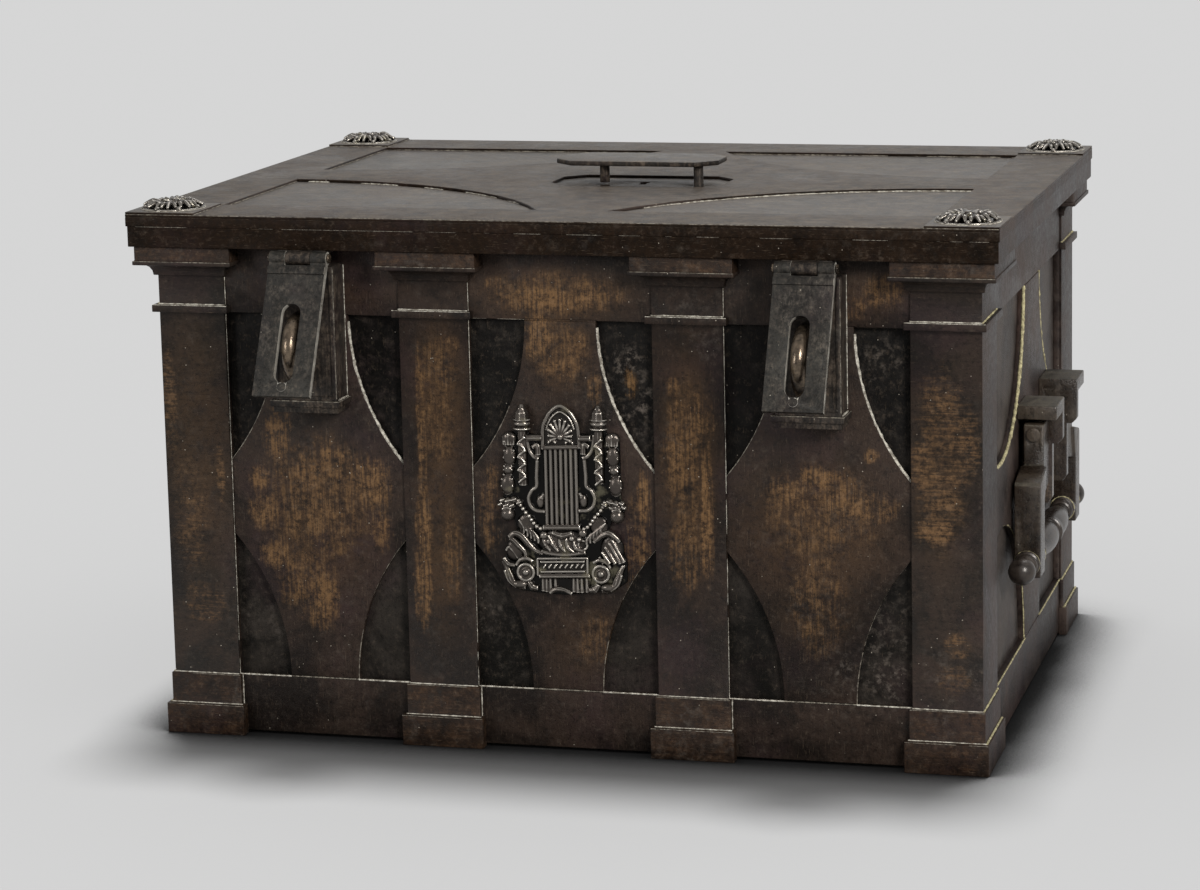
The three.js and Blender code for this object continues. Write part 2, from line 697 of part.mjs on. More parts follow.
// Lid, with a keyhole plate let into it under the keyhole cover
const lid = new THREE.Group();
chest.add(lid);
const octagon = (x, y, width, depth, corner) => {
  const right = x + width / 2;
  const left = x - width / 2;
  const back = y + depth / 2;
  const front = y - depth / 2;
  return [
    [left + corner, front], [right - corner, front], [right, front + corner], [right, back - corner],
    [right - corner, back], [left + corner, back], [left, back - corner], [left, front + corner],
  ];
};
const coverSink = outline(octagon(coverX, coverY, coverWidth + 2 * coverSinkMargin,
  coverDepth + 2 * coverSinkMargin, coverCorner));
const lidPlate = carve(join([
  block(-lidSide, lidSide, lidFront, lidBack, lidSlabBottom, lidSlabTop),
  block(lidBandInset - lidSide, lidSide - lidBandInset, lidFront + lidBandInset, lidBack,
    lidUnderside, lidSlabBottom + 1),
]), [
  block(lidSeatWidth - shellSide, shellSide - lidSeatWidth,
    shellFront + lidSeatWidth, shellBack - lidSeatWidth, lidUnderside - 1, lidSlabBottom),
  alongZ(coverSink, lidSlabBottom - 1, lidSlabTop + 1),
]);
add(lid, 'lid_plate', shapeOf(lidPlate), lidIron);
const keyholePlate = carve(solid(alongZ(coverSink, lidSlabBottom, lidSlabTop)), [
  rodZ(keyholeRadius, lidSlabBottom - 1, lidSlabTop + 1, lockX, lockY),
  block(lockX - keyholeSlotWidth / 2, lockX + keyholeSlotWidth / 2, lockY - keyholeSlotLength, lockY,
    lidSlabBottom - 1, lidSlabTop + 1),
  rodZ(coverPostRadius + pinGap, lidSlabBottom - 1, lidSlabTop + 1, coverPivotX, coverPostY, 16),
  rodZ(coverPostRadius + pinGap, lidSlabBottom - 1, lidSlabTop + 1, coverCatchX, coverPostY, 16),
]);
add(lid, 'keyhole_plate', shapeOf(keyholePlate), darkIron);
const frameCuts = [-1, 1].flatMap((sx) => [-1, 1].map((sy) => {
  const corner = [sx * (lidSide - frameBorderX), sy * (lidBack - frameBorderY)];
  const start = [corner[0], (sy * frameSideNeck) / 2];
  const end = [(sx * frameFrontNeck) / 2, corner[1]];
  return alongZ(outline([corner, ...tangentArc(start, [-sx, 0], end)]), lidSlabTop - 1, lidTop + 1);
}));
const frameBlock = solid(block(-lidSide, lidSide, lidFront, lidBack, lidSlabTop, lidTop));
add(lid, 'lid_frame', shapeOf(carve(frameBlock, [
  ...frameCuts,
  alongZ(coverSink, lidSlabTop - 1, lidTop + 1),
])), lidIron);

// Corner plates with cast rosettes
const rosette = (x, y) => {
  const plateTop = lidTop + cornerPlateThickness;
  const pieces = [
    block(x - cornerPlateWidth / 2, x + cornerPlateWidth / 2,
      y - cornerPlateDepth / 2, y + cornerPlateDepth / 2, lidTop, plateTop),
    rodZ(rosetteRadius, plateTop - 1, plateTop + rosetteHeight * 0.35, x, y, 24),
    new THREE.SphereGeometry(1, 12, 8).scale(rosetteRadius * 0.3, rosetteRadius * 0.3, rosetteHeight)
      .translate(x, y, plateTop + rosetteHeight * 0.1),
  ];
  for (let i = 0; i < rosettePetals; i += 1) {
    const angle = (2 * Math.PI * i) / rosettePetals;
    pieces.push(new THREE.SphereGeometry(1, 8, 6)
      .scale(rosetteRadius * 0.32, rosetteRadius * 0.22, rosetteHeight * 0.75)
      .rotateZ(angle)
      .translate(x + rosetteRadius * 0.64 * Math.cos(angle), y + rosetteRadius * 0.64 * Math.sin(angle),
        plateTop + rosetteHeight * 0.2));
  }
  const below = block(x - lidWidth, x + lidWidth, y - lidDepth, y + lidDepth, 0, lidTop);
  return shapeOf(carve(join(pieces), [below]));
};
for (const [name, sx, sy] of [
  ['rosette_front_left', -1, -1], ['rosette_front_right', 1, -1],
  ['rosette_back_left', -1, 1], ['rosette_back_right', 1, 1],
]) {
  const x = sx * (lidSide - cornerPlateWidth / 2);
  const y = sy * (lidBack - cornerPlateDepth / 2);
  add(lid, name, rosette(x, y), castIron);
}

// Keyhole cover, raised: the pivot post passes through the lid, and the catch pin clears it
const coverFoot = lidSlabTop + coverRise;
add(chest, 'keyhole_cover_plate', alongZ(
  outline(octagon(coverX, coverY, coverWidth, coverDepth, coverCorner)),
  coverFoot,
  coverFoot + coverThickness,
), lidIron);
add(chest, 'keyhole_cover_catch_pin',
  rodZ(coverPostRadius, lidTop + runningGap, coverFoot, coverCatchX, coverPostY, 16), darkIron);
add(chest, 'keyhole_cover_pivot_post', shapeOf(join([
  rodZ(coverPostRadius, lidSlabBottom - coverCollarHeight, coverFoot, coverPivotX, coverPostY, 16),
  rodZ(coverCollarRadius, lidSlabBottom - coverCollarHeight, lidSlabBottom, coverPivotX, coverPostY, 16),
])), darkIron);

// Hasp hinges under the lid's front edge, and the tilted hasps
const haspPivot = (middle) => {
  const pivot = new THREE.Group();
  pivot.position.set(middle, hingeY, hingeZ);
  return pivot;
};
const leaf = (middle) => {
  const half = haspMiddleKnuckle / 2;
  const leafFront = lidFront + lidBandInset;
  const web = outline([
    [hingeY, lidUnderside], [leafFront + 2, lidUnderside], [leafFront + 2, lidUnderside - leafThickness],
    [hingeY + 4, hingeZ - 3], [hingeY, hingeZ],
  ]);
  return shapeOf(carve(join([
    block(middle - leafWidth / 2, middle + leafWidth / 2, leafFront, leafFront + leafDepth,
      lidUnderside - leafThickness, lidUnderside),
    alongX(web, middle - half, middle + half),
    rodX(haspKnuckleRadius, middle - half, middle + half, hingeY, hingeZ),
  ]), [rodX(haspPinRadius + pinGap, middle - half - 1, middle + half + 1, hingeY, hingeZ)]));
};
const haspPin = () => {
  const head = 2;
  const end = haspWidth / 2 + pinGap;
  return shapeOf(join([
    rodX(haspPinRadius, -end - 0.1, end + 0.1, 0, 0, 14),
    rodX(haspPinRadius + 1.5, -end - head, -end, 0, 0, 14),
    rodX(haspPinRadius + 1.5, end, end + head, 0, 0, 14),
  ]));
};
const hasp = () => {
  const half = haspWidth / 2;
  const inner = haspMiddleKnuckle / 2 + runningGap;
  const back = haspThickness / 2;
  const plateTop = -haspKnuckleRadius - 3 * runningGap;
  const slotHalf = slotWidth / 2;
  const tab = (x0, x1) => block(x0, x1, -back, back, plateTop - 1, 0);
  return shapeOf(carve(join([
    block(-half, half, -back, back, -haspLength, plateTop),
    tab(-half, -inner),
    tab(inner, half),
    rodX(haspKnuckleRadius, -half, -inner, 0, 0),
    rodX(haspKnuckleRadius, inner, half, 0, 0),
    block(-half, half, -back - haspBarProud, 0, -haspBarTop - haspBarHeight, -haspBarTop),
    rodY(haspRivetRadius, -back - haspRivetProud, 0, 0, -haspLength + 2 * haspRivetRadius, 16),
  ]), [
    rodX(haspPinRadius + pinGap, -half - 1, half + 1, 0, 0),
    block(-slotHalf, slotHalf, -half, half, -slotEnd + slotHalf, -slotStart - slotHalf),
    rodY(slotHalf, -half, half, 0, -slotStart - slotHalf, 24),
    rodY(slotHalf, -half, half, 0, -slotEnd + slotHalf, 24),
  ]));
};
for (const [name, middle] of [['left', -haspX], ['right', haspX]]) {
  add(lid, `hasp_leaf_${name}`, leaf(middle), darkIron);
  const fixed = haspPivot(middle);
  lid.add(fixed);
  add(fixed, `hasp_pin_${name}`, haspPin(), wornIron);
  const swing = haspPivot(middle);
  swing.rotation.x = -THREE.MathUtils.degToRad(haspTilt);
  chest.add(swing);
  add(swing, `hasp_${name}`, hasp(), darkIron);
}

// Rear hinges: a leaf on the back wall, a leaf on the lid and the pin between them
const axisY = lidBack + rearHingeOffset;
const axisZ = lidUnderside;
const rearSpan = rearHingeWidth / 2;
const rearInner = rearMiddleKnuckle / 2;
const bodyLeaf = (middle) => {
  const web = outline([
    [shellBack, axisZ - 26], [axisY + 2.5, axisZ - rearKnuckleRadius + 0.5],
    [axisY, axisZ - 4], [shellBack, axisZ - 4],
  ]);
  const ends = [[-rearSpan, -rearInner - runningGap], [rearInner + runningGap, rearSpan]];
  const knuckles = ends.flatMap(([a, b]) => [
    alongX(web, middle + a, middle + b),
    rodX(rearKnuckleRadius, middle + a, middle + b, axisY, axisZ),
  ]);
  return shapeOf(carve(join([
    block(middle - rearSpan, middle + rearSpan, shellBack, shellBack + bodyLeafThickness,
      axisZ - 4 - bodyLeafHeight, axisZ - 4),
    ...knuckles,
  ]), [rodX(rearPinRadius + pinGap, middle - rearSpan - 1, middle + rearSpan + 1, axisY, axisZ)]));
};
const lidLeaf = (middle) => {
  const foot = axisZ + lidLeafRise;
  return shapeOf(carve(join([
    block(middle - rearSpan, middle + rearSpan, lidBack, lidBack + lidLeafThickness,
      foot, foot + lidLeafHeight),
    block(middle - rearInner, middle + rearInner, lidBack + 1.5, lidBack + lidLeafThickness,
      axisZ, foot + 1),
    rodX(rearKnuckleRadius, middle - rearInner, middle + rearInner, axisY, axisZ),
  ]), [rodX(rearPinRadius + pinGap, middle - rearInner - 1, middle + rearInner + 1, axisY, axisZ)]));
};
const rearPin = (middle) => {
  const end = rearSpan + pinGap;
  const head = 3;
  return shapeOf(join([
    rodX(rearPinRadius, middle - end - 0.1, middle + end + 0.1, axisY, axisZ, 16),
    rodX(rearPinRadius + 1.5, middle - end - head, middle - end, axisY, axisZ, 16),
    rodX(rearPinRadius + 1.5, middle + end, middle + end + head, axisY, axisZ, 16),
  ]));
};
for (const [name, middle] of [['left', -rearHingeX], ['right', rearHingeX]]) {
  add(body, `rear_hinge_body_leaf_${name}`, bodyLeaf(middle), darkIron);
  add(body, `rear_hinge_pin_${name}`, rearPin(middle), wornIron);
  add(lid, `rear_hinge_lid_leaf_${name}`, lidLeaf(middle), darkIron);
}

// Lock: a plate on legs under the lid, the key's cam, and two bolts that it throws
const lockPlateTop = lidSlabBottom - lockPlateDrop + lockPlateThickness;
const lockPlateBottom = lidSlabBottom - lockPlateDrop;
const camTop = lockPlateBottom - runningGap;
const camBottom = camTop - camThickness;
const boltTop = camBottom - runningGap;
const boltBottom = boltTop - boltThickness;
const guideFoot = boltBottom - runningGap - guideWall;
const guide = (x) => {
  const reach = boltWidth / 2 + runningGap;
  const boltY = lockY - Math.sign(x) * boltOffset;
  const frame = outline([
    [boltY - reach, lockPlateBottom + 1], [boltY - reach, guideFoot + guideWall],
    [boltY + reach, guideFoot + guideWall], [boltY + reach, lockPlateBottom + 1],
    [boltY + reach + guideWall, lockPlateBottom + 1], [boltY + reach + guideWall, guideFoot],
    [boltY - reach - guideWall, guideFoot], [boltY - reach - guideWall, lockPlateBottom + 1],
  ]);
  return alongX(frame, lockX + x - guideLength / 2, lockX + x + guideLength / 2);
};
const lockPlate = () => {
  const halfLength = lockPlateLength / 2 + guideLength / 2;
  const halfWidth = lockPlateWidth / 2;
  const legs = lockLegX.flatMap((x) => [-1, 1].map((end) => {
    const y = lockY + end * (halfWidth - lockLegSize / 2);
    return block(lockX + x - lockLegSize / 2, lockX + x + lockLegSize / 2, y - lockLegSize / 2,
      y + lockLegSize / 2, lockPlateBottom, lidSlabBottom);
  }));
  return shapeOf(carve(join([
    block(lockX - halfLength, lockX + halfLength, lockY - halfWidth, lockY + halfWidth,
      lockPlateBottom, lockPlateTop),
    ...legs,
    ...boltGuideX.map(guide),
  ]), [
    rodZ(hubRadius + runningGap, lockPlateBottom - 1, lockPlateTop + 1, lockX, lockY),
    rodZ(coverCollarRadius + runningGap, lockPlateBottom - 1, lockPlateTop + 1, coverPivotX, coverPostY),
  ]));
};
add(lid, 'lock_plate', lockPlate(), innerIron);
const lockCam = () => {
  const hubTop = lidSlabBottom - runningGap;
  const pins = [camPinAngle, camPinAngle + 180].map((angle) => {
    const turn = THREE.MathUtils.degToRad(angle);
    return rodZ(camPinRadius, camBottom - camPinLength, camBottom + 1,
      lockX + camPinOrbit * Math.cos(turn), lockY + camPinOrbit * Math.sin(turn), 16);
  });
  return shapeOf(carve(join([
    rodZ(camRadius, camBottom, camTop, lockX, lockY, 32),
    rodZ(hubRadius, camTop - 1, hubTop, lockX, lockY),
    ...pins,
  ]), [block(lockX - keySocket / 2, lockX + keySocket / 2, lockY - keySocket / 2, lockY + keySocket / 2,
    hubTop - keySocketDepth, hubTop + 1)]));
};
add(chest, 'lock_cam', lockCam(), wornIron);
// Drawn for the bolt that leaves to the left; the other is the same bar turned end for end.
const bolt = (reach) => {
  const turn = THREE.MathUtils.degToRad(camPinAngle);
  const pinX = camPinOrbit * Math.cos(turn);
  const slotHalf = camPinRadius + boltSlotPlay;
  const slotLow = camPinOrbit * Math.sin(turn) - slotHalf;
  const slotHigh = camPinOrbit + slotHalf;
  const bar = block(-reach, boltTailLength, boltOffset - boltWidth / 2, boltOffset + boltWidth / 2,
    boltBottom, boltTop);
  return carve(solid(bar), [
    block(pinX - slotHalf, pinX + slotHalf, slotLow, slotHigh, boltBottom - 1, boltTop + 1),
  ]);
};
const mouthSide = shellSide - rimWidth - wallThickness - boltTipGap;
const leftBolt = bolt(mouthSide + lockX);
const rightBolt = bolt(mouthSide - lockX).mirror([1, 0, 0]).mirror([0, 1, 0]);
add(chest, 'bolt_left', shapeOf(leftBolt.translate([lockX, lockY, 0])), wornIron);
add(chest, 'bolt_right', shapeOf(rightBolt.translate([lockX, lockY, 0])), wornIron);

export default chest;
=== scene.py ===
"""Looks of the iron armada chest, piece by piece in the order in which it is put together."""

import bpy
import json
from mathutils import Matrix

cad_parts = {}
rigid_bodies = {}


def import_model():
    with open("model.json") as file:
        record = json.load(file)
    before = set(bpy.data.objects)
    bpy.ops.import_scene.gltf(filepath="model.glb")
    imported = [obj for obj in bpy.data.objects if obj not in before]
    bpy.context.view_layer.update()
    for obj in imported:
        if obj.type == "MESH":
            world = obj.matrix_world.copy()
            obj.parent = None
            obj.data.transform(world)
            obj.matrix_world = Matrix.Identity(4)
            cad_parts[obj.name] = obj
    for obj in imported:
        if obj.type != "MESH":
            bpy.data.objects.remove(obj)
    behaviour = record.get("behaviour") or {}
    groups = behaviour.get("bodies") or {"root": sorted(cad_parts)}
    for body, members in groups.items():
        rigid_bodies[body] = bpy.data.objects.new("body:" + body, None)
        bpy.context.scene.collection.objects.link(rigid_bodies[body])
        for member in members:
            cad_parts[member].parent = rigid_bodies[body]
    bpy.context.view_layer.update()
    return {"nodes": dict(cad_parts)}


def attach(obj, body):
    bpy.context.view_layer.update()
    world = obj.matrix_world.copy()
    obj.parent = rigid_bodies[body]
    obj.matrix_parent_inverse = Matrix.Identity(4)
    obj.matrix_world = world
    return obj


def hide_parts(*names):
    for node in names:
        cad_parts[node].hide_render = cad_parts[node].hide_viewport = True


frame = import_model()

import json
import math

import bmesh
import bpy
from mathutils import Matrix, Vector, noise

scene = bpy.context.scene
MM = 0.001

# Camera, a little to the right of the chest's middle and looking slightly down on it. The yaw, pitch
# and roll are in degrees and the place in millimetres, all from one fit to the photograph.
yaw, pitch, roll = (math.radians(angle) for angle in (13.82, 9.62, -0.94))
camera_place = Vector((898.3, -3307.6, 947.5))
camera = bpy.data.cameras.new("camera")
camera.sensor_width = 36.0
camera.lens = 101.09
camera.shift_x = -0.1
camera.shift_y = -0.1
camera.clip_end = 80.0
ahead = Vector((-math.sin(yaw) * math.cos(pitch), math.cos(yaw) * math.cos(pitch), -math.sin(pitch)))
level = Vector((math.cos(yaw), math.sin(yaw), 0.0))
above = level.cross(ahead)
camera_right = math.cos(roll) * level + math.sin(roll) * above
camera_up = -math.sin(roll) * level + math.cos(roll) * above
viewer = bpy.data.objects.new("camera", camera)
viewer.matrix_world = (Matrix.Translation(camera_place * MM)
                       @ Matrix((camera_right, camera_up, -ahead)).transposed().to_4x4())
scene.collection.objects.link(viewer)
scene.camera = viewer

# Shell: the floor plate, the four walls and the rim of the mouth, forged iron plates joined at their
# edges. The walls show in the sunk corners of the strap panels, where the iron has stayed charcoal grey,
# with painted shade darkening the upper corners under the lid and the hasps.


def linear(red, green, blue):
    """A colour as it is seen, 0 to 255, in the linear values that a shader takes."""
    return tuple((c / 255.0 / 12.92 if c <= 10 else ((c / 255.0 + 0.055) / 1.055) ** 2.4)
                 for c in (red, green, blue)) + (1.0,)


def start_group(name, inputs):
    """A node group for a surface, with its inputs, and Color, Roughness and Normal to put out."""
    tree = bpy.data.node_groups.new(name, "ShaderNodeTree")
    for label, kind, value in inputs:
        socket = tree.interface.new_socket(label, in_out="INPUT", socket_type="NodeSocket" + kind)
        if value is not None:
            socket.default_value = value
    for label, kind in (("Color", "Color"), ("Roughness", "Float"), ("Normal", "Vector")):
        tree.interface.new_socket(label, in_out="OUTPUT", socket_type="NodeSocket" + kind)
    return tree, tree.nodes.new("NodeGroupInput").outputs, tree.nodes.new("NodeGroupOutput").inputs


def node(tree, kind, settings, **sockets):
    """Adds a node with its settings, and sets or links its sockets by name, or by number as _0."""
    made = tree.nodes.new(kind)
    for key, value in settings.items():
        setattr(made, key, value)
    for label, value in sockets.items():
        socket = made.inputs[int(label[1:])] if label[0] == "_" else made.inputs[label.replace("_", " ")]
        if isinstance(value, bpy.types.NodeSocket):
            tree.links.new(value, socket)
        else:
            socket.default_value = value
    return made


def sums(tree, operation, first, second, clamp=False):
    """One step of arithmetic between two masks or numbers."""
    return node(tree, "ShaderNodeMath", {"operation": operation, "use_clamp": clamp}, _0=first,
                _1=second).outputs[0]


def product(tree, first, second):
    """Two masks multiplied, kept between 0 and 1."""
    return sums(tree, "MULTIPLY", first, second, True)


def weighed(tree, start, *shares):
    """A number with masks added to it, each as (mask, weight)."""
    total = start
    for mask, weight in shares:
        total = node(tree, "ShaderNodeMath", {"operation": "MULTIPLY_ADD"}, _0=mask, _1=weight,
                     _2=total).outputs[0]
    return total


def clouds(tree, place, scale, detail, roughness, warp=0.0):
    """Noise about 0.5, at a scale of so many clouds to the metre."""
    return node(tree, "ShaderNodeTexNoise", {}, Vector=place, Scale=scale, Detail=detail, Roughness=roughness,
                Distortion=warp).outputs["Fac"]


def between(tree, value, low, high):
    """0 at low rising smoothly to 1 at high, or falling where low is the larger."""
    return node(tree, "ShaderNodeMapRange", {"interpolation_type": "SMOOTHSTEP"}, Value=value, From_Min=low,
                From_Max=high).outputs["Result"]


def blend(tree, factor, first, second):
    """The first colour where the factor is 0 and the second where it is 1."""
    return node(tree, "ShaderNodeMix", {"data_type": "RGBA"}, _0=factor, _6=first, _7=second).outputs[2]


def bumped(tree, height, strength, distance, **normal):
    """The normal of a surface that a mask raises, by up to a distance in millimetres."""
    return node(tree, "ShaderNodeBump", {}, Height=height, Strength=strength, Distance=distance * MM,
                **normal).outputs[0]


# Forged surface: a mottled dark patina, brushed along its grain and pitted, which is rubbed through to
# ochre where it is worn and holds dust and a few pale specks where it isn't
forged, given, gives = start_group("forged_surface", [
    ("Place", "Vector", None), ("Grain", "Vector", None), ("Dark", "Color", None), ("Mid", "Color", None),
    ("Glazed", "Color", None), ("Rubbed", "Color", None), ("Glaze", "Float", 0.0), ("Wear", "Float", 0.0),
    ("Dust", "Float", 0.2), ("Gloss", "Float", 0.45)])
place = given["Place"]
cloud = clouds(forged, place, 12.0, 8.0, 0.66, 0.5)
patch = clouds(forged, place, 46.0, 9.0, 0.74, 0.2)
mottle = clouds(forged, place, 170.0, 6.0, 0.72)
streak = clouds(forged, given["Grain"], 430.0, 5.0, 0.66)
hair = clouds(forged, given["Grain"], 1500.0, 2.0, 0.6)
pit = clouds(forged, place, 430.0, 5.0, 0.7)
tone = blend(forged, between(forged, cloud, 0.40, 0.62), given["Dark"], given["Mid"])
plum = between(forged, clouds(forged, place, 7.0, 5.0, 0.6, 0.3), 0.5, 0.68)
tone = blend(forged, product(forged, plum, 0.4), tone, linear(52, 38, 40))
glazed = product(forged, given["Glaze"], between(forged, patch, 0.30, 0.56))
tone = blend(forged, glazed, tone, given["Glazed"])
ragged = weighed(forged, -3.05, (patch, 2.2), (mottle, 1.3), (streak, 1.5))
reach = between(forged, sums(forged, "ADD", given["Wear"], ragged), -0.55, 0.75)
rub = product(forged, reach, between(forged, given["Wear"], 0.0, 0.3))
bare = blend(forged, between(forged, sums(forged, "ADD", streak, mottle), 0.84, 1.22), given["Glazed"],
             given["Rubbed"])
tone = blend(forged, product(forged, rub, 0.95), tone, bare)
# Dark pores, pale bloom, dark and bright brush marks, and pits, each as mask, range, strength and colour
for mask, low, high, strength, colour in (
        (mottle, 0.48, 0.34, 0.5, (14, 12, 11)), (mottle, 0.54, 0.70, 0.28, (86, 76, 66)),
        (streak, 0.54, 0.68, 0.3, (16, 13, 12)), (hair, 0.62, 0.74, 0.25, (118, 102, 84)),
        (pit, 0.56, 0.66, 0.65, (14, 12, 11))):
    tone = blend(forged, product(forged, between(forged, mask, low, high), strength), tone, linear(*colour))
grime = product(forged, between(forged, clouds(forged, place, 120.0, 8.0, 0.72), 0.47, 0.72),
                between(forged, clouds(forged, place, 17.0, 3.0, 0.6), 0.40, 0.66))
dusty = product(forged, grime, given["Dust"])
tone = blend(forged, product(forged, dusty, 0.7), tone, linear(104, 96, 88))
speck = node(forged, "ShaderNodeTexVoronoi", {}, Vector=place, Scale=150.0).outputs["Distance"]
dot = product(forged, between(forged, speck, 0.10, 0.05),
              between(forged, clouds(forged, place, 70.0, 2.0, 0.5), 0.55, 0.62))
tone = blend(forged, product(forged, dot, 0.7), tone, linear(176, 168, 154))
forged.links.new(tone, gives["Color"])
shine = weighed(forged, -0.49, (cloud, 0.5), (mottle, 0.6), (dusty, 0.3))
forged.links.new(sums(forged, "ADD", given["Gloss"], shine, True), gives["Roughness"])
normal = bumped(forged, clouds(forged, place, 34.0, 4.0, 0.55), 0.35, 2.2)
normal = bumped(forged, mottle, 0.3, 1.4, Normal=normal)
normal = bumped(forged, streak, 0.25, 0.6, Normal=normal)
normal = bumped(forged, sums(forged, "SUBTRACT", 1.0, pit), 0.5, 0.9, Normal=normal)
forged.links.new(normal, gives["Normal"])

# Soft oval patch, which says where the patina is glazed, worn or dusty, and where painted shade darkens the
# sunk corners
oval = bpy.data.node_groups.new("worn_oval", "ShaderNodeTree")
for label, kind in (("Place", "Vector"), ("Centre", "Vector"), ("Reach", "Vector"), ("Strength", "Float")):
    oval.interface.new_socket(label, in_out="INPUT", socket_type="NodeSocket" + kind)
oval.interface.new_socket("Cover", in_out="OUTPUT", socket_type="NodeSocketFloat")
given = oval.nodes.new("NodeGroupInput").outputs
offset = node(oval, "ShaderNodeVectorMath", {"operation": "SUBTRACT"}, _0=given["Place"], _1=given["Centre"])
share = node(oval, "ShaderNodeVectorMath", {"operation": "DIVIDE"}, _0=offset.outputs[0], _1=given["Reach"])
span = node(oval, "ShaderNodeVectorMath", {"operation": "LENGTH"}, _0=share.outputs[0])
oval.links.new(sums(oval, "MULTIPLY", between(oval, span.outputs["Value"], 1.35, 0.35), given["Strength"]),
               oval.nodes.new("NodeGroupOutput").inputs["Cover"])


def surfaced(name, group, metal, specular, **values):
    """A material that takes its colour, roughness and normal from a surface group."""
    material = bpy.data.materials.new(name)
    material.use_nodes = True
    tree = material.node_tree
    tree.nodes.clear()
    place = tree.nodes.new("ShaderNodeTexCoord").outputs["Object"]
    surface = node(tree, "ShaderNodeGroup", {"node_tree": group}, Place=place, **values)
    principled = node(tree, "ShaderNodeBsdfPrincipled", {}, Metallic=metal, Specular_IOR_Level=specular,
                      Base_Color=surface.outputs["Color"], Roughness=surface.outputs["Roughness"],
                      Normal=surface.outputs["Normal"])
    node(tree, "ShaderNodeOutputMaterial", {}, Surface=principled.outputs[0])
    return material, tree, place, surface


# The ovals' planes on the front and on the top, and how far the ovals reach in from each face
front_plane, top_plane = -290.0, 518.0
front_reach, side_reach, top_reach = 90.0, 2000.0, 60.0


def iron(name, dark, mid, glazed, rubbed, along="z", face="front", glaze=0.0, wear=0.0, dust=0.25, gloss=0.42,
         metal=0.15, specular=0.15):
    """A forged iron; glaze, wear and dust are one number all over, or a list of ovals on one face, each
    with its place across and up, its reach across and up in millimetres, and its strength."""
    material, tree, place, surface = surfaced(
        name, forged, metal, specular, Dark=linear(*dark), Mid=linear(*mid), Glazed=linear(*glazed),
        Rubbed=linear(*rubbed), Gloss=gloss)
    stretch = {"x": (0.07, 1.0, 1.0), "y": (1.0, 0.07, 1.0), "z": (1.0, 1.0, 0.07)}[along]
    tree.links.new(node(tree, "ShaderNodeMapping", {}, Vector=place, Scale=stretch).outputs[0],
                   surface.inputs["Grain"])
    for label, ovals in (("Glaze", glaze), ("Wear", wear), ("Dust", dust)):
        if isinstance(ovals, float):
            surface.inputs[label].default_value = ovals
            continue
        total = None
        for across, up, reach_across, reach_up, strength in ovals:
            centre, reach = {"front": ((across, front_plane, up), (reach_across, front_reach, reach_up)),
                             "side": ((0, across, up), (side_reach, reach_across, reach_up)),
                             "top": ((across, up, top_plane), (reach_across, reach_up, top_reach))}[face]
            made = node(tree, "ShaderNodeGroup", {"node_tree": oval}, Place=place, Centre=Vector(centre) * MM,
                        Reach=Vector(reach) * MM, Strength=strength).outputs[0]
            total = made if total is None else sums(tree, "MAXIMUM", total, made)
        tree.links.new(total, surface.inputs[label])
    return material


def smooth(mesh, angle):
    """Shades a mesh smooth, with its edges kept sharp from an angle in degrees."""
    mesh.polygons.foreach_set("use_smooth", [True] * len(mesh.polygons))
    mesh.set_sharp_from_angle(angle=math.radians(angle))


def finish_mesh(piece):
    """Applies a piece's modifiers and keeps the result as its mesh."""
    done = bpy.data.meshes.new_from_object(piece.evaluated_get(bpy.context.evaluated_depsgraph_get()))
    rough = piece.data
    piece.modifiers.clear()
    piece.data = done
    bpy.data.meshes.remove(rough)


def piece_of(name, work, *materials):
    """A new object from a bmesh, which is freed."""
    mesh = bpy.data.meshes.new(name)
    work.to_mesh(mesh)
    work.free()
    for material in materials:
        mesh.materials.append(material)
    piece = bpy.data.objects.new(name, mesh)
    scene.collection.objects.link(piece)
    return piece


flat_angle, edge_angle = math.radians(0.8), math.radians(34.0)


def dressed(part, body, rounding, *materials, choose=None):
    """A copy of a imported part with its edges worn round, which stands in for it. Rounding is in millimetres,
    and choose gives the number of the material that a face takes."""
    work = bmesh.new()
    work.from_mesh(frame["nodes"][part].data)
    bmesh.ops.remove_doubles(work, verts=work.verts, dist=1e-5)
    bmesh.ops.dissolve_limit(work, angle_limit=flat_angle, verts=work.verts, edges=work.edges)
    bmesh.ops.connect_verts_concave(work, faces=work.faces)
    bmesh.ops.recalc_face_normals(work, faces=work.faces)
    piece = piece_of(part + "_dressed", work, *materials)
    edges = piece.modifiers.new("edges", "BEVEL")
    edges.width = rounding * MM
    edges.segments = 2
    edges.limit_method = "ANGLE"
    edges.angle_limit = edge_angle
    finish_mesh(piece)
    smooth(piece.data, 40.0)
    if choose:
        for polygon in piece.data.polygons:
            polygon.material_index = choose(polygon)
    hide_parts(part)
    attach(piece, body)
    return piece


recess_dust = [(0, 200, 1000, 500, 0.09), (66, 360, 34, 60, 1.5), (-320, 120, 40, 80, 0.5),
               (318, 110, 36, 70, 1.3), (-60, 110, 50, 70, 0.6), (310, 380, 40, 50, 0.8)]
# The near-black glaze band over the upper part of the sunk corners is painted shade from the lid and the hasps
# above them.
recess_iron = iron("recess_iron", (17, 16, 14), (45, 41, 37), (9, 8, 7), (112, 84, 52),
                   glaze=[(0, 370, 2000, 120, 1.0)], wear=[(66.6, 361, 8, 16, 0.8)], dust=recess_dust,
                   gloss=0.5, metal=0.0, specular=0.08)
inner_iron = iron("inner_iron", (40, 37, 34), (60, 56, 51), (66, 52, 40), (96, 84, 70), dust=0.4, gloss=0.58)
# The sides' sunk corners are lighter than the front's, partly with painted light as on the side panels.
side_recess_iron = iron("side_recess_iron", (46, 41, 39), (76, 70, 66), (78, 66, 60), (112, 104, 98),
                        face="side", wear=0.2, gloss=0.45)


def inward(face):
    """The inner iron on a wall's side that looks towards the chest's middle."""
    return 1 if face.center.to_2d().dot(face.normal.to_2d()) < 0.0 else 0


